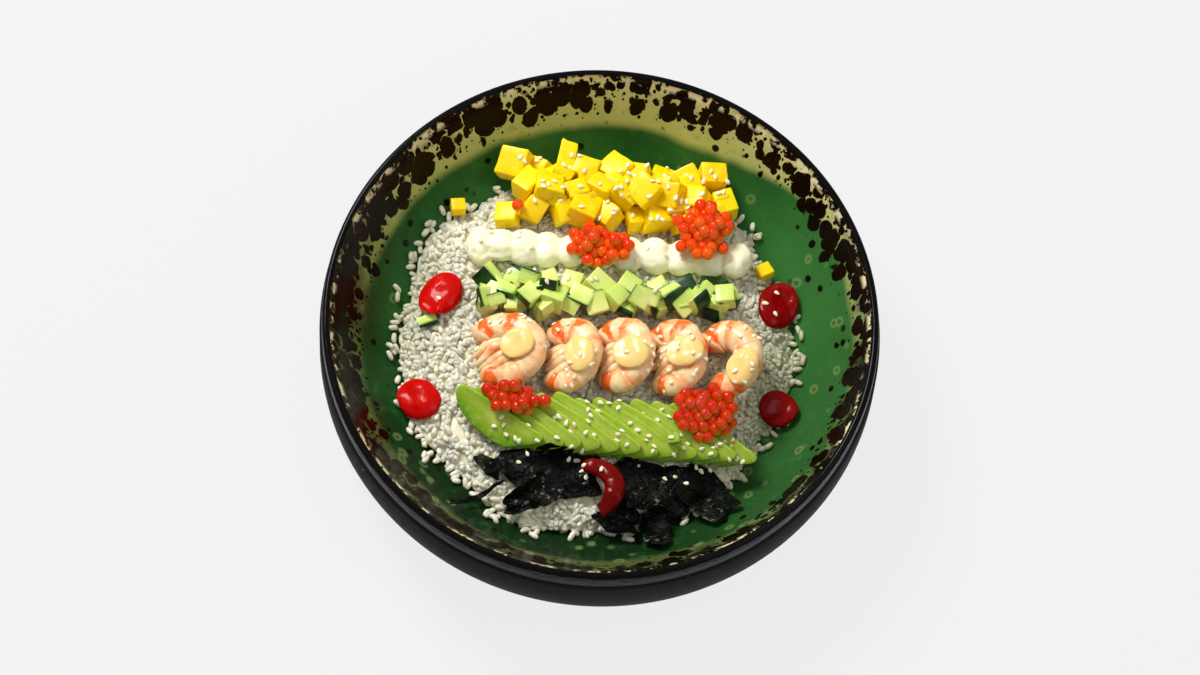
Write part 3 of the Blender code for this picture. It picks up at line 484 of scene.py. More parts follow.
    # the lip is black and the outside below the band is matte charcoal
    colour = glaze.mix(glaze.fade(radius, 0.1116, 0.1124), colour, tone(12, 10, 10))
    innerWall = ((radius / 0.1116).atMost(1) ** bowl["power"]) * 0.042 + 0.010
    below = (1 - glaze.fade(z - innerWall, -0.004, -0.002)) * (1 - glaze.fade(z, 0.0405, 0.0415))
    outside = glaze.fade(radius, 0.1152, 0.1156).atLeast(below)
    body = glaze.mix(glaze.noise(300, 3), bowl["body tone"], tone(28, 27, 27))
    body = glaze.mix(glaze.fade(glaze.noise(130, 2), 0.74, 0.76), body, tone(150, 120, 90))
    colour = glaze.mix(outside, colour, body)
    glaze.feed("Base Color", colour)
    glaze.feed("Roughness", outside * 0.38 + 0.15 + specks * 0.08)
    glaze.feed("Coat Weight", (1 - outside) * 0.05)
    dimple = glaze.noise(85, 2, 0.4) * (1 - outside * 0.7) + glaze.noise(32, 1) * 0.9 - lipFleckAndHighlight * 0.5 + outside * glaze.noise(900, 2) * 0.1
    glaze.bump(dimple, 0.30, 0.0016)
    return glaze


def makeBowl():
    pickNothing()
    line = bowlProfile()
    radius, height = line[0]
    bpy.ops.mesh.primitive_circle_add(vertices=bowl["around"], radius=radius * mm, location=(0, 0, height * mm),
                                      fill_type="NGON")
    piece = bpy.context.object
    settle(piece)
    bpy.ops.object.mode_set(mode="EDIT")
    bpy.ops.mesh.select_all(action="SELECT")
    bpy.ops.mesh.delete(type="ONLY_FACE")
    bpy.ops.mesh.select_all(action="SELECT")
    for nextRadius, nextHeight in line[1:]:
        bpy.ops.mesh.extrude_edges_move(TRANSFORM_OT_translate={"value": (0, 0, (nextHeight - height) * mm)})
        share = nextRadius / radius
        bpy.ops.transform.resize(value=(share, share, 1), center_override=(0, 0, nextHeight * mm))
        radius, height = nextRadius, nextHeight
    bpy.ops.mesh.edge_face_add()
    bpy.ops.mesh.select_all(action="DESELECT")
    bpy.ops.mesh.select_non_manifold()
    bpy.ops.mesh.edge_face_add()
    bpy.ops.mesh.select_all(action="SELECT")
    bpy.ops.mesh.normals_make_consistent(inside=False)
    bpy.ops.object.mode_set(mode="OBJECT")
    smooth(piece, 50)
    handOver(piece, "bowlGlazed", glazeFinish(), ["bowl"])
    print("bowl ready")


# the rice: a bed and loose grains all over it

rice = {
    "radius": 82.5, "rise": 11.5, "edge": 3.5, "power": 5,
    "waves": ((1, 2.0, -1.6), (3, 1.2, 0.4), (7, 1.5, 2.0), (11, 1.1, 4.1)),
    "grainHalf": (2.45, 1.38, 1.3), "grains": 3400, "loose": 30, "seed": 4,
}


def riceRadius(angle):
    return (rice["radius"] + sum(size * math.sin(n * angle + phase) for n, size, phase in rice["waves"])) * mm


def riceZ(x, y):
    radius, angle = math.hypot(x, y), math.atan2(y, x)
    share = radius / riceRadius(angle)
    if share > 1:
        return bowlZ(radius)
    return bowlZ(radius) + (rice["edge"] + rice["rise"] * (1 - share ** rice["power"])) * mm


def riceFinish(name, pale, grey):
    finish = Finish(name, {"Roughness": 0.34, "Subsurface Weight": 0.5, "Subsurface Scale": 0.003,
                           "Subsurface Radius": (1.0, 0.9, 0.75), "Coat Weight": 0.05, "Coat Roughness": 0.2})
    tint = finish.attribute("tint")
    cloud = finish.noise(260, 2)
    x, y, _ = finish.split()
    shaded = finish.fade(x, 0.054, 0.074).atLeast(finish.fade(x * -1, 0.062, 0.080) * finish.fade(y, -0.03, 0.0) * 0.6)
    colour = finish.mix(tint * 0.6 + cloud * 0.4, grey, pale)
    finish.feed("Base Color", finish.mix(shaded * 0.75, colour, tone(160, 160, 124)))
    finish.bump(finish.noise(900, 2), 0.15, 0.0004)
    return finish


def grainProto(bend):
    pickNothing()
    bpy.ops.mesh.primitive_uv_sphere_add(segments=7, ring_count=5, radius=1, rotation=(0, math.pi / 2, 0))
    piece = settle(bpy.context.object)
    for v in piece.data.vertices:
        blunt = math.sqrt(1 + 0.9 * v.co.x ** 2)
        v.co.y = v.co.y * blunt + bend * v.co.x ** 2
        v.co.z *= blunt
    half = rice["grainHalf"]
    bpy.ops.transform.resize(value=(half[0] * mm, half[1] * mm * 0.88, half[2] * mm * 0.88))
    return takeMesh(settle(piece))


def makeRice():
    bed = copyOfNode("rice")
    applyModifier(bed, "REMESH", mode="VOXEL", voxel_size=1.1 * mm)
    for v in bed.data.vertices:
        lump = noise.noise(v.co * 170) * 0.6 + noise.noise(v.co * 380) * 0.3 - 0.55
        v.co.z += lump * mm
    bed.data.attributes.new("tint", "FLOAT", "POINT").data.foreach_set("value", [0.35] * len(bed.data.vertices))
    smooth(bed, 80)
    bedFinish = riceFinish("rice bed", tone(246, 240, 214), tone(232, 226, 196))
    handOver(bed, "riceBed", bedFinish, ["rice"])

    cover = treeOf([piece for name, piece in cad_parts.items() if name not in ("bowl", "rice")])
    draw = random.Random(rice["seed"])
    protos = [grainProto(bend) for bend in (0.0, 0.16, -0.12)]
    places = []
    tries = 0
    while len(places) < rice["grains"] and tries < 90000:
        tries += 1
        angle = draw.uniform(0, 2 * math.pi)
        share = math.sqrt(draw.uniform(0, 1.09))
        reach = riceRadius(angle) * (1 + 0.035 * noise.noise(Vector((math.cos(angle) * 9, math.sin(angle) * 9, 3))))
        radius = reach * share
        if share > 1 and draw.random() > 0.22:
            continue
        x, y = radius * math.cos(angle), radius * math.sin(angle)
        hit = dropOn(cover, x, y)[0]
        if hit:
            sides = [dropOn(cover, x + dx, y + dy)[0] for dx, dy in ((0.004, 0), (-0.004, 0), (0, 0.004), (0, -0.004))]
            if all(sides):
                continue
        edge = max(0.0, (radius / riceRadius(angle) - 0.90) / 0.1)
        base = riceZ(x * 0.97 / max(share, 0.97), y * 0.97 / max(share, 0.97))
        base = max(base - 0.004 * min(edge, 1.5) ** 2, bowlZ(radius) + 1.2 * mm) if edge else base
        lump = noise.noise(Vector((x, y, base)) * 170) * 0.7 + 0.1
        lift = (draw.uniform(-0.5, 1.0) + lump) * (1 - 0.6 * min(edge, 1)) * mm
        turn = Euler((draw.uniform(-0.6, 0.6), draw.uniform(-0.6, 0.6), draw.uniform(0, 6.28)))
        size = draw.uniform(0.86, 1.08)
        place = Matrix.LocRotScale(Vector((x, y, base + lift)), turn, Vector((size * draw.uniform(0.85, 1.1), size, size)))
        places.append((draw.randrange(3), place, draw.random()))
    for k in range(rice["loose"]):
        angle = draw.choice((draw.uniform(-2.5, -0.9), draw.uniform(2.4, 3.9), draw.uniform(-0.5, 0.6)))
        radius = riceRadius(angle) + draw.uniform(1, 6) * mm
        x, y = radius * math.cos(angle), radius * math.sin(angle)
        slope = math.atan((bowlZ(radius + mm) - bowlZ(radius - mm)) / (2 * mm))
        turn = Matrix.Rotation(angle, 3, "Z") @ Matrix.Rotation(-slope, 3, "Y") @ Matrix.Rotation(draw.uniform(0, 3.1), 3, "Z")
        place = Matrix.LocRotScale(Vector((x, y, bowlZ(radius) + 1.3 * mm)), turn.to_quaternion(), Vector((1, 1, 1)))
        places.append((draw.randrange(3), place, draw.random()))
    grains = joinCopies("riceGrains", protos, places)
    handOver(grains, "riceGrains", riceFinish("rice grains", tone(247, 242, 217), tone(224, 218, 186)))
    print("rice ready,", len(places), "grains")


# mango and cucumber, cut in dice

mango = {"left": -45, "right": 50, "middle": 65.5, "slope": 0.02, "half": 11.5, "rise": 7.5, "columns": 9,
         "rows": 3, "side": 10.8, "seed": 11, "back": 90, "extra": 26}
cucumber = {"left": -52, "right": 55, "middle": 16.5, "slope": 0.06, "half": 10.5, "rise": 6.0, "columns": 9,
            "rows": 3, "side": 9.8, "seed": 5, "radius": 14, "extra": 16}
cream = {"xs": (-53, -44.5, -35, -25, -14.5, -3, 9, 20.5, 32, 43.5, 54.5), "half": (7.3, 8.6, 5.4),
         "middle": 39.6, "slope": 0.03, "height": 29.0}
shrimps = {"spots": ((-39.0, -11.6, 12.0, 10.4, 17, 8), (-12.4, -11.4, 9.0, 10.8, 28, -4), (9.5, -9.2, 9.0, 10.6, 28, 0),
                     (31.3, -8.4, 9.0, 11.0, 28, 3), (54.0, -6.6, 9.0, 10.8, 24, 6)),
           "thick": 5.1, "wide": 1.34, "middle": 33.2, "start": -142, "end": 150, "steps": 96, "sides": 28}
sideGap = 0.7


def shrimpFront(x):
    reach = -20 * mm
    for sx, sy, curlX, curlY, _, _ in shrimps["spots"]:
        margin = shrimps["thick"] * shrimps["wide"] + 0.2
        across = (x / mm - sx) / (curlX + margin)
        if abs(across) < 1:
            reach = max(reach, (sy + (curlY + margin) * math.sqrt(1 - across ** 2)) * mm)
    return reach


def heapSpots(heap):
    draw = random.Random(heap["seed"])
    spots = []
    for row in range(heap["rows"]):
        for column in range(heap["columns"]):
            along = (column + 0.5 + (0.25 if row % 2 else -0.25)) / heap["columns"]
            x = (heap["left"] + (heap["right"] - heap["left"]) * along) * mm + draw.uniform(-1.3, 1.3) * mm
            across = 1 - row / (heap["rows"] - 1) * 2
            y = heap["middle"] * mm + heap["slope"] * x + heap["half"] * mm * across + draw.uniform(-1.5, 1.5) * mm
            lift = (heap["rise"] * mm * 0.6 if row == 1 else 0) + draw.uniform(0, 1.2) * mm
            spots.append((column, row, x, y, lift, draw.random()))
    return spots, draw


def restInHeap(mesh, shape, x, y, lift, low, high):
    # keeps a turned block between two lines and lifts it clear of the rice
    points = [shape @ v.co for v in mesh.vertices]
    y = min(max(y, low - min(p.y for p in points)), high - max(p.y for p in points))
    floor = max([0.0] + [riceZ(x + p.x, y + p.y) + sideGap * mm - p.z for p in points])
    return Matrix.Translation((x, y, floor + lift)) @ shape


def shaped(turn, sides):
    return turn.to_matrix().to_4x4() @ Matrix.Diagonal((*sides, 1))


def dieProto(seed, wear, edge, peel=None):
    # a knife-cut block of unit size, softened at its edges; peel is the share of it left to the skin
    pickNothing()
    bpy.ops.mesh.primitive_cube_add(size=1)
    piece = bpy.context.object
    bpy.ops.object.mode_set(mode="EDIT")
    bpy.ops.mesh.bevel(offset=edge, segments=2, affect="EDGES")
    bpy.ops.mesh.select_all(action="SELECT")
    bpy.ops.mesh.subdivide(number_cuts=2)
    bpy.ops.object.mode_set(mode="OBJECT")
    draw = random.Random(seed)
    skew = [draw.uniform(-0.07, 0.07) for _ in range(6)]
    values = []
    for v in piece.data.vertices:
        x, y, z = v.co
        values.append((0.72 + z * 0.2) if peel is None else 1 - (0.5 - z) * peel)
        v.co.x += skew[0] * y + skew[1] * z
        v.co.y += skew[2] * z + skew[3] * x * z
        v.co.z += skew[4] * x + skew[5] * x * y
        v.co += noise.noise_vector(v.co * 2.3 + Vector((seed, 0, 0))) * wear
    piece.data.attributes.new("radial", "FLOAT", "POINT").data.foreach_set("value", values)
    return takeMesh(piece)


def wedgeProto(reach, seed):
    # a quarter or half moon of cucumber: a cylinder cut lengthwise twice, unit radius and length
    pickNothing()
    bpy.ops.mesh.primitive_cylinder_add(vertices=40, radius=1, depth=1, rotation=(0, math.pi / 2, 0))
    piece = settle(bpy.context.object)
    for side in (1, -1):
        bpy.ops.object.mode_set(mode="EDIT")
        bpy.ops.mesh.select_all(action="SELECT")
        normal = (0, side * math.cos(reach / 2), math.sin(reach / 2))
        bpy.ops.mesh.bisect(plane_co=(0, 0, 0), plane_no=normal, use_fill=True, clear_outer=True)
        bpy.ops.object.mode_set(mode="OBJECT")
    applyModifier(piece, "BEVEL", width=0.035, segments=2, limit_method="ANGLE", angle_limit=math.radians(35))
    applyModifier(piece, "REMESH", mode="VOXEL", voxel_size=0.05)
    values = []
    for v in piece.data.vertices:
        values.append(math.hypot(v.co.y, v.co.z))
        v.co += noise.noise_vector(v.co * 2 + Vector((seed, 3, 0))) * 0.015
    piece.data.attributes.new("radial", "FLOAT", "POINT").data.foreach_set("value", values)
    applyModifier(piece, "DECIMATE", ratio=0.35)
    return takeMesh(piece)


def mangoFinish():
    finish = Finish("mango flesh", {"Subsurface Weight": 0.28, "Subsurface Scale": 0.003, "Subsurface Radius": (1, 0.6, 0.1),
                                    "Coat Weight": 0.08, "Coat Roughness": 0.15, "Specular IOR Level": 0.18})
    tint = finish.attribute("tint")
    cloud = finish.noise(240, 3)
    colour = finish.mix(tint, tone(255, 222, 4), tone(254, 202, 4))
    colour = finish.mix(finish.fade(cloud, 0.45, 0.75) * 0.5, colour, tone(255, 236, 30))
    fibre = finish.noise(700, 2, at=finish.node("ShaderNodeMapping", {}, {"Vector": finish.place, "Scale": (1, 0.25, 1)}))
    finish.feed("Base Color", finish.mix(finish.fade(fibre, 0.5, 0.8) * 0.25, colour, tone(240, 176, 0)))
    finish.feed("Roughness", cloud * 0.25 + 0.26)
    finish.bump(fibre + finish.noise(1500, 2) * 0.4, 0.35, 0.0003)
    return finish


def cucumberFinish():
    finish = Finish("cucumber", {"Subsurface Weight": 0.15, "Subsurface Scale": 0.002, "Coat Weight": 0.12,
                                 "Coat Roughness": 0.12})
    radial = finish.attribute("radial")
    tint = finish.attribute("tint")
    grain = finish.noise(420, 3)
    flesh = finish.mix(finish.fade(radial + grain * 0.1, 0.25, 0.85), tone(224, 231, 132), tone(200, 221, 104))
    flesh = finish.mix(finish.fade(radial + grain * 0.04, 0.86, 0.955), flesh, tone(132, 180, 60))
    flesh = finish.mix(tint * 0.35, flesh, tone(233, 239, 152))
    seeds = finish.cells(230)
    flesh = finish.mix((1 - finish.fade(seeds, 0.10, 0.2)) * (1 - finish.fade(radial, 0.45, 0.6)) * 0.5, flesh, tone(232, 232, 190))
    peel = finish.mix(finish.fade(finish.noise(160, 3), 0.4, 0.7), tone(14, 46, 14), tone(36, 84, 28))
    skin = finish.fade(radial, 0.958, 0.966)
    finish.feed("Base Color", finish.mix(skin, flesh, peel))
    finish.feed("Roughness", grain * 0.2 + 0.18)
    finish.bump(grain + finish.noise(1300, 2) * 0.5, 0.25, 0.0003)
    return finish


def makeMango():
    spots, draw = heapSpots(mango)
    protos = [dieProto(k, 0.035, 0.07) for k in range(4)]
    extra = random.Random(31)
    places = []
    seam = (cream["middle"] + cream["half"][1] + 2 * sideGap) * mm
    for column, row, x, y, lift, _ in spots:
        side = mango["side"] * mm * draw.uniform(0.82, 1.16)
        sides = [side, side * draw.uniform(0.8, 1.1), side * draw.uniform(0.75, 1.0)]
        turn = Euler((draw.uniform(-0.4, 0.4), draw.uniform(-0.4, 0.4), draw.uniform(0, 3.1)))
        if column == 2 and row == 0:
            sides = [20 * mm, 7.5 * mm, 7.5 * mm]
            turn = Euler((0, math.radians(-12), math.radians(82)))
            y += 2 * mm
        [draw.uniform(-1, 1) for _ in range(24)]
        which = extra.randrange(4)
        place = restInHeap(protos[which], shaped(turn, sides), x, y, lift, seam + cream["slope"] * x, mango["back"] * mm)
        places.append((which, place, extra.random()))
    for _ in range(mango["extra"]):
        x = extra.uniform(mango["left"] + 4, mango["right"] - 2) * mm
        y = mango["middle"] * mm + extra.uniform(-0.75, 0.75) * mango["half"] * mm
        side = mango["side"] * mm * extra.uniform(0.55, 0.85)
        sides = [side, side * extra.uniform(0.7, 1.0), side * extra.uniform(0.6, 0.9)]
        turn = Euler((extra.uniform(-0.5, 0.5), extra.uniform(-0.5, 0.5), extra.uniform(0, 3.1)))
        lift = (4.5 + 5.0 * (1 - abs(y / mm - mango["middle"]) / mango["half"])) * mm * extra.uniform(0.7, 1.0)
        which = extra.randrange(4)
        place = restInHeap(protos[which], shaped(turn, sides), x, y, lift, seam + cream["slope"] * x, mango["back"] * mm)
        places.append((which, place, extra.random()))
    piece = joinCopies("mangoDice", protos, places)
    smooth(piece, 42)
    finish = mangoFinish()
    handOver(piece, "mangoDice", finish, ["mango"])
    for name, turn in (("mango_stray", 8), ("mango_chip", 30)):
        low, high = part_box(name)
        size = (6.2 * mm, 5.7 * mm, high.z - low.z)
        place = Matrix.Translation((low + high) / 2) @ Matrix.Rotation(math.radians(turn), 4, "Z") @ Matrix.Diagonal((*size, 1))
        chip = joinCopies(name + "Die", [protos[1]], [(0, place, 0.5)])
        smooth(chip, 42)
        handOver(chip, name + "Die", finish, [name])
    print("mango ready,", len(places), "dice")


def makeCucumber():
    spots, draw = heapSpots(cucumber)
    extra = random.Random(47)
    plain = [dieProto(10 + k, 0.02, 0.05) for k in range(2)]
    skinned = [dieProto(14 + k, 0.02, 0.05, peel=0.42) for k in range(2)]
    wedges = [wedgeProto(math.radians(88), 1), wedgeProto(math.radians(130), 2)]
    protos = plain + skinned + wedges
    places = []

    def put(which, turn, sides, x, y, lift, reach):
        seam = (cream["middle"] - cream["half"][1] - 2 * sideGap) * mm + cream["slope"] * x
        low = max(shrimpFront(x + step * reach / 2) for step in (-1, 0, 1)) + sideGap * mm
        shape = shaped(turn, sides)
        if which >= 4:
            shape = shape @ Matrix.Translation((0, 0, 0.55))
        places.append((which, restInHeap(protos[which], shape, x, y, lift, low, seam), extra.random()))

    for column, row, x, y, lift, kind in spots:
        turn = Euler((draw.uniform(-0.35, 0.35), draw.uniform(-0.35, 0.35), draw.uniform(-0.8, 0.8)))
        side = cucumber["side"] * mm * draw.uniform(0.8, 1.1)
        if kind < 0.4:
            draw.uniform(62, 95)
            radius = cucumber["radius"] * mm * draw.uniform(0.62, 0.9)
            quarter = math.radians(draw.choice((0, 90, 180)))
            turn = Euler((turn.x + math.radians(60), turn.y, turn.z + quarter))
            put(4 + extra.randrange(2), turn, (side, radius * 0.8, radius * 0.8), x, y, lift, side)
        else:
            sides = (side, side * draw.uniform(0.75, 1.0), side * draw.uniform(0.7, 0.95))
            [draw.uniform(-1, 1) for _ in range(24)]
            which = extra.choice((0, 1, 2, 3))
            if which > 1:
                turn = Euler((turn.x + math.radians(extra.choice((70, 80, -75, 0))), turn.y, turn.z))
            put(which, turn, sides, x, y, lift, side)
    for _ in range(cucumber["extra"]):
        x = extra.uniform(cucumber["left"] + 2, cucumber["right"] - 2) * mm
        y = (cucumber["middle"] + extra.uniform(-0.7, 0.8) * cucumber["half"]) * mm + cucumber["slope"] * x
        side = cucumber["side"] * mm * extra.uniform(0.6, 0.92)
        which = extra.choice((0, 1, 2, 3, 4, 5))
        turn = Euler((extra.choice((0, 1.3, -1.4)) + extra.uniform(-0.3, 0.3), extra.uniform(-0.3, 0.3), extra.uniform(0, 3.1)))
        sides = (side, side * extra.uniform(0.7, 1.0), side * extra.uniform(0.7, 0.95))
        put(which, turn, sides, x, y, extra.uniform(4.0, 7.5) * mm, side)
    piece = joinCopies("cucumberDice", protos, places)
    smooth(piece, 35)
    finish = cucumberFinish()
    handOver(piece, "cucumberDice", finish, ["cucumber"])
    low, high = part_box("cucumber_chip")
    size = (8 * mm, high.z - low.z, 4 * mm)
    turn = Matrix.Rotation(math.radians(25), 4, "Z") @ Matrix.Rotation(math.radians(90), 4, "X")
    place = Matrix.Translation((low + high) / 2) @ turn @ Matrix.Diagonal((*size, 1))
    chip = joinCopies("cucumberChip", [protos[2]], [(0, place, 0.4)])
    smooth(chip, 35)
    handOver(chip, "cucumberChip", finish, ["cucumber_chip"])
    print("cucumber ready,", len(places), "pieces")


# cream cheese, piped in short tongues

def creamFinish():
    finish = Finish("cream cheese", {"Subsurface Weight": 0.25, "Subsurface Scale": 0.003,
                                     "Subsurface Radius": (1, 0.95, 0.8), "Coat Weight": 0.03, "Coat Roughness": 0.25})
    cloud = finish.noise(150, 3)
    colour = finish.mix(cloud, tone(250, 244, 200), tone(255, 251, 218))
    speck = finish.cells(330, finish.shift(0.002, 300))
    seen = (1 - finish.fade(speck, 0.14, 0.26)) * finish.fade(speck.other(1), 0.62, 0.7)
    finish.feed("Base Color", finish.mix(seen * 0.45, colour, tone(206, 196, 160)))
    finish.feed("Roughness", cloud * 0.2 + 0.34)
    finish.bump(finish.noise(520, 3) + seen * 0.4, 0.3, 0.0005)
    return finish


def makeCream():
    draw = random.Random(8)
    tongues = []
    for x in cream["xs"]:
        share = draw.uniform(0.92, 1.07)
        half = [size * share for size in cream["half"]]
        half[1] = min(half[1] * draw.uniform(0.9, 1.05), cream["half"][1])
        height = cream["height"] + draw.uniform(-0.8, 0.8)
        turn = draw.uniform(-0.12, 0.12)
        pickNothing()
        bpy.ops.mesh.primitive_uv_sphere_add(
            segments=36, ring_count=20, radius=1, rotation=(0, 0, turn), scale=[size * mm for size in half],
            location=(x * mm, (cream["middle"] + cream["slope"] * x) * mm, height * mm))
        tongues.append(settle(bpy.context.object))
    piece = joinAll(tongues)
    applyModifier(piece, "REMESH", mode="VOXEL", voxel_size=0.75 * mm)
    applyModifier(piece, "SMOOTH", factor=0.6, iterations=3)

    def lumps(p):
        rough = min(1, max(0, (-0.043 - p.x) / 0.008))
        lump = noise.noise(p * 160) * 0.9 + noise.noise(p * 420) * (0.28 + 0.5 * rough)
        return (lump + math.sin(p.y * 900 + noise.noise(p * 90) * 5) * 0.10) * mm

    swell(piece, lumps)
    for v in piece.data.vertices:
        v.co.z = max(v.co.z, riceZ(v.co.x, v.co.y) + 0.4 * mm)
    smooth(piece, 80)
    handOver(piece, "creamTongues", creamFinish(), ["cream_cheese"])
    print("cream cheese ready")


# shrimps: a segmented curl with a folded belly

def shrimpFinish():
    finish = Finish("cooked shrimp", {"Subsurface Weight": 0.3, "Subsurface Scale": 0.003, "Subsurface Radius": (1, 0.5, 0.25),
                                      "Coat Weight": 0.15, "Coat Roughness": 0.12})
    u, v, _ = finish.split(finish.node("ShaderNodeUVMap", {"uv_map": "curl"}))
    wave = finish.noise(120, 3)
    fine = finish.noise(520, 3, at=finish.node("ShaderNodeMapping", {}, {"Vector": finish.place, "Scale": (1, 1, 0.4)}))
    pale = finish.mix(wave, tone(252, 208, 152), tone(254, 228, 180))
    pale = finish.mix(finish.fade(fine, 0.5, 0.75) * 0.5, pale, tone(246, 168, 108))
    step = (u * 6.5 + (wave - 0.5) * 0.9)
    phase = step.calc("FRACT", step)
    ends = finish.fade((u - 0.47).calc("ABSOLUTE", u - 0.47), 0.12, 0.42)
    back = finish.fade(v, 0.10, 0.4)
    band = finish.fade(phase, 0.30, 0.62) * (1 - finish.fade(phase, 0.90, 1.0))
    amount = band * (ends * 0.7 + 0.35) * (back * 0.6 + 0.4) + finish.fade(wave + ends * 0.08, 0.52, 0.66) * 0.55
    colour = finish.mix(amount.atMost(1), pale, tone(248, 138, 60))
    colour = finish.mix(finish.fade(amount * finish.noise(300, 2), 0.34, 0.5) * 0.8, colour, tone(236, 96, 24))
    finish.feed("Base Color", colour)
    finish.feed("Roughness", wave * 0.2 + 0.22)
    finish.bump(fine + finish.noise(240, 2) * 0.8, 0.35, 0.0006)
    return finish


def shrimpMesh(number, x, y, curlX, curlY, lean, turn):
    start, end = math.radians(shrimps["start"]), math.radians(shrimps["end"])
    place = Matrix.Translation((x * mm, y * mm, shrimps["middle"] * mm))
    place = place @ Euler((0, -math.radians(lean), math.radians(turn))).to_matrix().to_4x4()
    points, uvs = [], []
    steps, sides = shrimps["steps"], shrimps["sides"]
    for i in range(steps + 1):
        t = i / steps
        angle = start + (end - start) * t
        middle = Vector((curlX * math.cos(angle), curlY * math.sin(angle), 0))
        outward = Vector((curlY * math.cos(angle), curlX * math.sin(angle), 0)).normalized()
        thick = shrimps["thick"] * (0.66 + 0.34 * math.sin(math.pi * min(t * 0.75, 0.5)))
        phase = (t * 6.5 + 0.2) % 1
        thick *= 0.97 + 0.10 * phase * (1 if phase < 0.86 else (1 - phase) / 0.14)
        thick *= math.sqrt(min(1, (t + 0.002) / 0.05)) * math.sqrt(min(1, (1.002 - t) / 0.06))
        for k in range(sides):
            around = 2 * math.pi * k / sides
            inner = max(0, -math.cos(around))
            wide = thick * shrimps["wide"] * (1 - 0.10 * inner)
            spot = middle + outward * wide * math.cos(around)
            spot += Vector((0, 0, thick * math.sin(around) * (1 - 0.16 * inner)))
            lump = noise.noise(spot * 0.42 + Vector((number * 7, 0, 0))) * 0.32
            spot += (outward * math.cos(around) + Vector((0, 0, math.sin(around)))) * lump
            spot = place @ (spot * mm)
            spot.z = max(spot.z, riceZ(spot.x, spot.y) + 0.5 * mm)
            points.append(spot)
            uvs.append((t, 0.5 + 0.5 * math.cos(around)))
    faces = []
    for i in range(steps):
        for k in range(sides):
            m = (k + 1) % sides
            faces.append((i * sides + k, i * sides + m, (i + 1) * sides + m, (i + 1) * sides + k))
    faces.append(tuple(range(sides - 1, -1, -1)))
    faces.append(tuple(steps * sides + k for k in range(sides)))
    # the folded legs lie in the open side of the curl
    if number < 4:
        folds = 4
        for f in range(folds):
            share = f / (folds - 1)
            base = len(points)
            rows, ring = 14, 10
            a = Vector((curlX * (0.10 + 0.25 * share), curlY * (0.50 - 0.75 * share), 1.4))
            b = Vector((-curlX * (1.20 - 0.35 * share), -curlY * (0.05 + 0.95 * share), 0.2))
            for i in range(rows + 1):
                t = i / rows
                core = a.lerp(b, t) + Vector((0, 0, 1.4 * math.sin(math.pi * t)))
                core += noise.noise_vector(Vector((t * 1.6, f * 3, number * 5))) * 1.6
                size = 2.8 * math.sin(math.pi * min(max(t, 0.03), 0.97)) ** 0.5 * (1 - 0.35 * t)
                across = Vector((-(b - a).y, (b - a).x, 0)).normalized()
                for k in range(ring):
                    around = 2 * math.pi * k / ring
                    spot = core + across * size * math.cos(around) + Vector((0, 0, size * 0.9 * math.sin(around)))
                    spot = place @ (spot * mm)
                    spot.z = max(spot.z, riceZ(spot.x, spot.y) + 0.5 * mm)
                    points.append(spot)
                    uvs.append((0.30 + 0.25 * t, 0.15))
            for i in range(rows):
                for k in range(ring):
                    m = (k + 1) % ring
                    faces.append((base + i * ring + k, base + i * ring + m, base + (i + 1) * ring + m, base + (i + 1) * ring + k))
            faces.append(tuple(base + k for k in range(ring - 1, -1, -1)))
            faces.append(tuple(base + rows * ring + k for k in range(ring)))
    mesh = bpy.data.meshes.new("shrimp")
    mesh.from_pydata(points, [], faces)
    layer = mesh.uv_layers.new(name="curl")
    for loop in mesh.loops:
        layer.data[loop.index].uv = uvs[loop.vertex_index]
    return mesh


def makeShrimps():
    finish = shrimpFinish()
    for number, spot in enumerate(shrimps["spots"]):
        name = f"shrimp_{number + 1}"
        piece = bpy.data.objects.new(name + "Curl", shrimpMesh(number, *spot))
        bpy.context.scene.collection.objects.link(piece)
        pick(piece)
        bpy.ops.object.mode_set(mode="EDIT")
        bpy.ops.mesh.select_all(action="SELECT")
        bpy.ops.mesh.normals_make_consistent(inside=False)
        bpy.ops.object.mode_set(mode="OBJECT")
        smooth(piece, 70)
        handOver(piece, name + "Curl", finish, [name])
    print("shrimps ready")


# sauces: the CAD puddles, rounded

def dollopFinish():
    finish = Finish("spicy mayonnaise", {"Subsurface Weight": 0.2, "Subsurface Scale": 0.002, "Subsurface Radius": (1, 0.7, 0.3),
                                         "Coat Weight": 0.2, "Coat Roughness": 0.08})
    cloud = finish.noise(110, 2)
    colour = finish.mix(cloud, tone(252, 216, 140), tone(248, 204, 118))
    dots = finish.cells(420)
    seen = (1 - finish.fade(dots, 0.08, 0.16)) * finish.fade(dots.other(1), 0.66, 0.7)
    finish.feed("Base Color", finish.mix(seen * 0.7, colour, tone(196, 110, 50)))
    finish.feed("Roughness", cloud * 0.15 + 0.22)
    finish.bump(finish.noise(300, 2), 0.15, 0.0006)
    return finish


def chilliFinish():
    finish = Finish("chilli sauce", {"Specular IOR Level": 0.08, "Subsurface Weight": 0.12, "Subsurface Scale": 0.002, "Subsurface Radius": (1, 0.1, 0.05),
                                     "Coat Weight": 0.08, "Coat Roughness": 0.05})
    x, y, z = finish.split()
    cloud = finish.noise(200, 3)
    colour = finish.mix(cloud, tone(184, 5, 3), tone(204, 14, 5))
    # painted shade: the sauce on the right side is darkened
    colour = finish.mix(finish.fade(x, -0.03, 0.03) * 0.9, colour, tone(118, 1, 2))
    colour = finish.mix((1 - finish.fade(y, -0.055, -0.045)) * 0.8, colour, tone(92, 2, 2))
    finish.feed("Base Color", colour)
    finish.feed("Roughness", cloud * 0.15 + 0.12)
    finish.bump(cloud + finish.noise(700, 2) * 0.3, 0.3, 0.0008)
    return finish


def roundedCopy(node, levels, wobble):
    piece = copyOfNode(node)
    subdivide(piece, levels)
    swell(piece, lambda p: noise.noise(p * 190) * wobble * mm)
    smooth(piece, 80)
    return piece


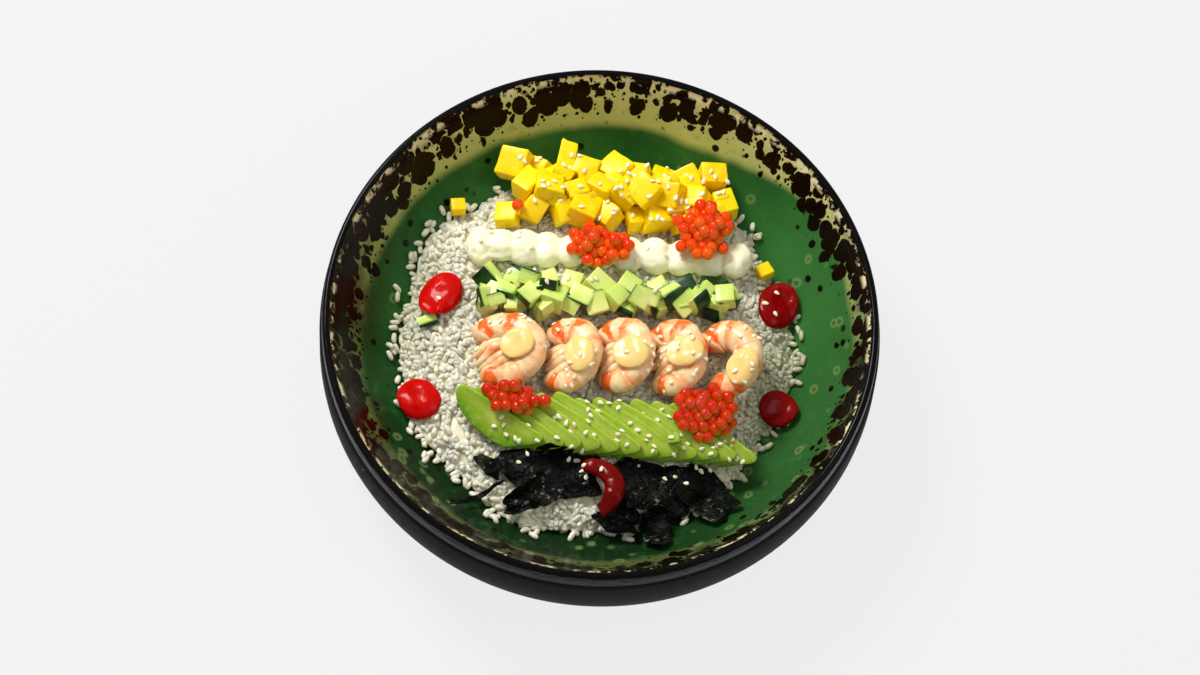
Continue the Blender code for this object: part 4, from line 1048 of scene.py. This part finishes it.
def makeSauces():
    finish = dollopFinish()
    for number in range(1, 6):
        node = f"dollop_{number}"
        handOver(roundedCopy(node, 3, 0.25), node + "Sauce", finish, [node])
    finish = chilliFinish()
    for node in ("sauce_left_upper", "sauce_left_lower", "sauce_right_upper", "sauce_right_lower", "sauce_arc"):
        handOver(roundedCopy(node, 3, 0.35), node + "Chilli", finish, [node])
    print("sauces ready")


# avocado: twelve long slices

avocado = {
    "count": 12, "left": (-40, -43.6), "right": (48, -42.0), "bow": -0.8, "length": 43, "width": 14, "thick": 2.3,
    "run": -30, "lean": 40, "seed": 21, "around": 72,
    "outline": ((0.50, -0.02), (0.52, -0.14), (0.50, -0.24), (0.35, -0.63), (0.20, -1.0), (0.04, -1.0), (-0.14, -0.95),
                (-0.30, -0.82), (-0.42, -0.60), (-0.49, -0.34), (-0.50, -0.10), (-0.47, 0.0), (0.0, 0.09)),
}


def avocadoFinish():
    finish = Finish("avocado flesh", {"Subsurface Weight": 0.2, "Subsurface Scale": 0.002, "Subsurface Radius": (0.6, 1, 0.2),
                                      "Coat Weight": 0.08, "Coat Roughness": 0.2})
    radial = finish.attribute("radial")
    grain = finish.noise(420, 4, 0.65)
    cloud = finish.noise(90, 2)
    x, _, _ = finish.split()
    first = 0.6 - finish.fade(x, -0.036, -0.016) * 0.6
    colour = finish.mix(finish.fade(radial + cloud * 0.25 + first * 0.35, 0.30, 0.85), tone(194, 208, 84), tone(148, 184, 36))
    colour = finish.mix(finish.fade(radial + cloud * 0.1 + first * 0.2, 0.70, 1.0), colour, tone(118, 166, 20))
    colour = finish.mix(finish.fade(radial, 0.93, 1.0) * 0.75, colour, tone(44, 88, 12))
    colour = finish.mix(finish.fade(grain, 0.48, 0.66) * 0.3, colour, tone(206, 220, 120))
    finish.feed("Base Color", colour)
    finish.feed("Roughness", grain * 0.3 + 0.26)
    finish.bump(grain, 0.35, 0.0004)
    return finish


def sliceEdge(length, width):
    # evenly spaced points round one slice, its corners softened a little
    corners = [Vector((u * length, v * width + width / 2)) for u, v in avocado["outline"]]
    sides = list(zip(corners, corners[1:] + corners[:1]))
    whole = sum((b - a).length for a, b in sides)
    points = []
    for k in range(avocado["around"]):
        left = whole * k / avocado["around"]
        for a, b in sides:
            if left <= (b - a).length:
                break
            left -= (b - a).length
        points.append(a.lerp(b, left / (b - a).length))
    for _ in range(2):
        points = [p * 0.5 + (points[k - 1] + points[(k + 1) % len(points)]) * 0.25 for k, p in enumerate(points)]
    return points


def sliceMesh(length, width):
    # a disc drawn out to the slice's outline and thickened
    pickNothing()
    bpy.ops.mesh.primitive_circle_add(vertices=avocado["around"], radius=1, fill_type="TRIFAN")
    piece = bpy.context.object
    bpy.ops.object.mode_set(mode="EDIT")
    bpy.ops.mesh.select_all(action="SELECT")
    bpy.ops.mesh.subdivide(number_cuts=5)
    bpy.ops.object.mode_set(mode="OBJECT")
    edge = sliceEdge(length, width)
    middle = sum(edge, Vector((0, 0))) / len(edge)
    values = []
    for v in piece.data.vertices:
        out = min(1, v.co.xy.length / math.cos(math.pi / len(edge)))
        turn = -math.atan2(v.co.y, v.co.x) / (2 * math.pi) * len(edge) % len(edge)
        low = int(turn) % len(edge)
        rim = edge[low].lerp(edge[(low + 1) % len(edge)], turn % 1)
        skin = min(1, max(0, (width * 0.36 - rim.y) / (width * 0.5)))
        values.append(out * (0.6 + 0.4 * skin))
        spot = middle + (rim - middle) * out
        v.co.x, v.co.y = spot
    bpy.ops.object.mode_set(mode="EDIT")
    bpy.ops.mesh.select_all(action="SELECT")
    bpy.ops.mesh.extrude_region_move(TRANSFORM_OT_translate={"value": (0, 0, avocado["thick"] * mm)})
    bpy.ops.mesh.select_all(action="SELECT")
    bpy.ops.mesh.normals_make_consistent(inside=False)
    bpy.ops.object.mode_set(mode="OBJECT")
    piece.data.attributes.new("radial", "FLOAT", "POINT").data.foreach_set("value", values * 2)
    for v in piece.data.vertices:
        v.co.z += noise.noise(v.co * 120 + Vector((length * 900, 0, 0))) * 0.3 * mm
    applyModifier(piece, "BEVEL", width=0.3 * mm, segments=2, limit_method="ANGLE", angle_limit=math.radians(60))
    return takeMesh(piece)


def makeAvocado():
    draw = random.Random(avocado["seed"])
    finish = avocadoFinish()
    left, right = Vector(avocado["left"]) * mm, Vector(avocado["right"]) * mm
    for i in reversed(range(avocado["count"])):
        along = i / (avocado["count"] - 1)
        centre = left.lerp(right, along)
        centre.y += avocado["bow"] * mm * math.sin(math.pi * along) + draw.uniform(-0.6, 0.6) * mm
        length = avocado["length"] * mm * draw.uniform(0.96, 1.02)
        width = avocado["width"] * mm * draw.uniform(0.96, 1.04)
        mesh = sliceMesh(length, width)
        node = f"avocado_{i + 1:02d}"
        turn = Matrix.Rotation(math.radians(avocado["run"]), 4, "Z") @ Matrix.Rotation(math.radians(avocado["lean"]), 4, "X")
        mesh.transform(Matrix.Translation((centre.x, centre.y, 0)) @ turn @ Matrix.Translation((0, 0, -avocado["thick"] / 2 * mm)))
        lowest = min(v.co.z for v in mesh.vertices)
        mesh.transform(Matrix.Translation((0, 0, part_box(node)[0].z - lowest + 0.1 * mm)))
        piece = bpy.data.objects.new(node + "Slice", mesh)
        bpy.context.scene.collection.objects.link(piece)
        smooth(piece, 50)
        handOver(piece, node + "Slice", finish, [node])
    low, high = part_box("avocado_chip")
    proto = dieProto(22, 0.03, 0.12)
    place = Matrix.Translation((low + high) / 2) @ Matrix.Rotation(math.radians(12), 4, "Z") @ Matrix.Diagonal((5 * mm, 4.4 * mm, high.z - low.z, 1))
    chip = joinCopies("avocadoChip", [proto], [(0, place, 0.5)])
    smooth(chip, 42)
    handOver(chip, "avocadoChip", finish, ["avocado_chip"])
    print("avocado ready")


# seaweed: torn, crumpled leaves

def noriFinish():
    finish = Finish("nori", {"Specular IOR Level": 0.08})
    crease = finish.noise(170, 5, 0.7)
    colour = finish.mix(finish.fade(crease, 0.35, 0.72), tone(2, 3, 2), tone(12, 16, 9))
    thin = finish.fade(finish.noise(60, 3), 0.54, 0.70) * finish.fade(crease, 0.40, 0.6)
    colour = finish.mix(thin * 0.6, colour, tone(54, 52, 24))
    ridge = finish.noise(110, 3, 0.6, finish.shift(0.006, 120)) - 0.5
    ridge = finish.fade(ridge.calc("ABSOLUTE", ridge), 0.0, 0.05)
    glint = finish.fade(finish.noise(420, 4, 0.7), 0.57, 0.66) * finish.fade(finish.noise(60, 2), 0.44, 0.58)
    colour = finish.mix(glint * 0.7, colour, tone(132, 138, 130))
    finish.feed("Base Color", colour)
    finish.feed("Roughness", 0.5 - glint * 0.3 - crease * 0.1)
    finish.bump(crease + ridge * 0.6 + finish.noise(700, 3) * 0.35, 0.85, 0.0009)
    return finish


def leafFrom(node, number):
    # the upper face of the CAD leaf, refined, crumpled and given its thickness again
    piece = copyOfNode(node)
    bpy.ops.object.mode_set(mode="OBJECT")
    faces = piece.data.polygons
    for face in faces:
        face.select = False
    for v in piece.data.vertices:
        v.select = False
    upward = [face.index for face in faces if face.normal.z > 0.12]
    for index in upward:
        faces[index].select = True
    bpy.ops.object.mode_set(mode="EDIT")
    bpy.ops.mesh.select_mode(type="FACE")
    bpy.ops.mesh.select_all(action="INVERT")
    bpy.ops.mesh.delete(type="FACE")
    bpy.ops.mesh.select_all(action="SELECT")
    bpy.ops.mesh.tris_convert_to_quads()
    bpy.ops.object.mode_set(mode="OBJECT")
    subdivide(piece, 3)
    for v in piece.data.vertices:
        p = v.co + Vector((number * 0.03, 0, 0))
        fold = abs(noise.noise(p * 70)) * 2.6 + abs(noise.noise(p * 190)) * 0.5
        tear = noise.noise_vector(p * 240) * 0.9 * mm
        tuck = min(1, max(0, (v.co.y / mm + 62) / 6)) * 2.4 * mm
        v.co += Vector((tear.x, tear.y + tuck, fold * 0.8 * mm - 0.5 * mm))
    applyModifier(piece, "SOLIDIFY", thickness=0.22 * mm, offset=0)
    smooth(piece, 75)
    return piece


def makeSeaweed():
    finish = noriFinish()
    for number in range(1, 10):
        node = f"seaweed_{number}"
        handOver(leafFrom(node, number), node + "Leaf", finish, [node])
    print("seaweed ready")


# roe: clusters of clear eggs

roe = {
    "clusters": (("roe_cream", 5, 20), ("roe_mango", 5, 22), ("roe_avocado_left", 3, 11), ("roe_avocado_right", 6, 17)),
    "radius": 2.75, "pitch": 4.25, "loneRadius": 2.6, "feel": ((0, 0), (1.6, 0), (-1.6, 0), (0, 1.6), (0, -1.6)),
}


def roeFinish():
    finish = Finish("salmon roe", {"Subsurface Weight": 0.5, "Subsurface Scale": 0.004, "Subsurface Radius": (1, 0.35, 0.05),
                                   "Coat Weight": 0.3, "Coat Roughness": 0.03, "Roughness": 0.10, "Specular IOR Level": 0.14})
    x, y, z = finish.split()
    tint = finish.attribute("tint")
    colour = finish.mix(tint, tone(236, 50, 0), tone(252, 92, 0))
    colour = finish.mix((1 - finish.fade(y, -0.02, 0.01)) * 0.7, colour, tone(178, 18, 0))
    # light gathers on the side of an egg that is turned from the lamp
    radial = finish.attribute("radial")
    colour = finish.mix(finish.fade(radial, 0.38, 0.88) * 0.8, colour, tone(255, 146, 24))
    # painted shade: the side of an egg turned to the lamp is darker red
    colour = finish.mix((1 - finish.fade(radial, 0.1, 0.5)) * 0.25, colour, tone(176, 16, 0))
    finish.feed("Base Color", colour)
    return finish


def makeRoe():
    # true-size eggs, closer together than the triangle limit lets the solids show them
    pickNothing()
    bpy.ops.mesh.primitive_uv_sphere_add(segments=22, ring_count=14, radius=1)
    ball = bpy.context.object
    # painted light: each egg's glow, strongest on the side turned from the lamp, kept in its radial attribute
    glow = [0.5 + 0.5 * v.co.dot(Vector((0.42, -0.72, -0.55))) for v in ball.data.vertices]
    ball.data.attributes.new("radial", "FLOAT", "POINT").data.foreach_set("value", glow)
    egg = takeMesh(ball)
    finish = roeFinish()
    radius, pitch = roe["radius"] * mm, roe["pitch"] * mm
    for node, upper, seed in roe["clusters"]:
        draw = random.Random(seed)
        tree = treeOf([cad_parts[node]])
        low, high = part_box(node)
        middle, half = (low + high) / 2, (high - low) / 2
        spots = []
        for row in range(-8, 9):
            for column in range(-8, 9):
                u, v = (column + 0.5 * (row % 2)) * pitch, row * pitch * 0.87
                ragged = 1 + draw.uniform(-0.10, 0.10)
                if math.hypot(u / (half.x - radius * 0.35), v / (half.y - radius * 0.35)) < ragged:
                    px, py = middle.x + u + draw.uniform(-0.5, 0.5) * mm, middle.y + v + draw.uniform(-0.5, 0.5) * mm
                    around = [dropOn(tree, px + dx * mm, py + dy * mm)[0] for dx, dy in roe["feel"]]
                    tops = [hit.z for hit in around if hit]
                    if tops:
                        spots.append(Vector((px, py, max(tops) - radius + draw.uniform(-0.7, 0.1) * mm)))
        inner = sorted(spots, key=lambda spot: (spot - middle).xy.length)[: upper * 3]
        for spot in draw.sample(inner, min(upper, len(inner))):
            spots.append(spot + Vector((pitch * 0.5, pitch * 0.29, radius * 0.9)))
        places = []
        for spot in spots:
            spot.z = min(spot.z, high.z - radius)
            size = radius * draw.uniform(0.92, 1.04)
            place = Matrix.LocRotScale(spot, None, Vector((size, size * 0.98, size * 0.96)))
            places.append((0, place, draw.random()))
        handOver(joinCopies(node + "Eggs", [egg], places), node + "Eggs", finish, [node])
    low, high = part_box("roe_single")
    size = roe["loneRadius"] * mm
    place = Matrix.LocRotScale((low + high) / 2, None, Vector((size, size, size)))
    handOver(joinCopies("roeSingleEgg", [egg], [(0, place, 0.8)]), "roeSingleEgg", finish, ["roe_single"])
    print("roe ready")


# sesame seeds over the finished rows

sesame = {
    "half": (1.4, 0.9, 0.5), "seed": 77, "spacing": 1.7,
    "zones": (("mango", -40, 50, 52, 84, 62), ("avocado", -44, 64, -54, -26, 78), ("right shrimps", 18, 66, -26, 6, 46),
              ("left shrimps", -52, 18, -24, 8, 24), ("cucumber", -52, 54, 6, 32, 18), ("cream", -58, 60, 32, 48, 14),
              ("right rice", 60, 80, -34, 34, 16), ("front rice", -40, 60, -62, -52, 14), ("left rice", -78, -58, -30, 30, 6)),
}


def makeSesame():
    pickNothing()
    bpy.ops.mesh.primitive_uv_sphere_add(segments=10, ring_count=6, radius=1, rotation=(0, math.pi / 2, 0))
    piece = settle(bpy.context.object)
    for v in piece.data.vertices:
        narrow = 1 - 0.32 * v.co.x - 0.12 * v.co.x ** 2
        v.co.y *= narrow
        v.co.z *= narrow
    bpy.ops.transform.resize(value=[size * mm for size in sesame["half"]])
    proto = takeMesh(settle(piece))
    below = treeOf([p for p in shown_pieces() if p.name not in ("riceGrains", "bowlGlazed")])
    eggs = treeOf([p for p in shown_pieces() if p.name.endswith(("Eggs", "Egg"))])
    draw = random.Random(sesame["seed"])
    places, taken = [], []
    for _, left, right, low, high, count in sesame["zones"]:
        made = tries = 0
        while made < count and tries < 4000:
            tries += 1
            x, y = draw.uniform(left, right) * mm, draw.uniform(low, high) * mm
            hit, normal, _, _ = dropOn(below, x, y)
            if not hit or normal.z < 0.35 or dropOn(eggs, x, y)[0] or any((hit - p).length < sesame["spacing"] * mm for p in taken):
                continue
            made += 1
            taken.append(hit)
            lie = normal.to_track_quat("Z", "Y") @ Euler((draw.uniform(-0.25, 0.25), draw.uniform(-0.25, 0.25), draw.uniform(0, 6.28))).to_quaternion()
            size = draw.uniform(0.88, 1.1)
            place = Matrix.LocRotScale(hit + normal * 0.32 * mm, lie, Vector((size, size, size)))
            places.append((0, place, draw.random()))
    finish = Finish("sesame", {"Roughness": 0.4, "Subsurface Weight": 0.1, "Subsurface Scale": 0.001})
    finish.feed("Base Color", finish.mix(finish.attribute("tint"), tone(255, 250, 224), tone(246, 230, 184)))
    finish.bump(finish.noise(1400, 2), 0.2, 0.0002)
    handOver(joinCopies("sesameSeeds", [proto], places), "sesameSeeds", finish)
    print("sesame ready,", len(places), "seeds")


makeStage()
makeBowl()
makeRice()
makeMango()
makeCucumber()
makeCream()
makeShrimps()
makeSauces()
makeAvocado()
makeSeaweed()
makeRoe()
bpy.context.view_layer.update()
makeSesame()
bpy.context.view_layer.update()
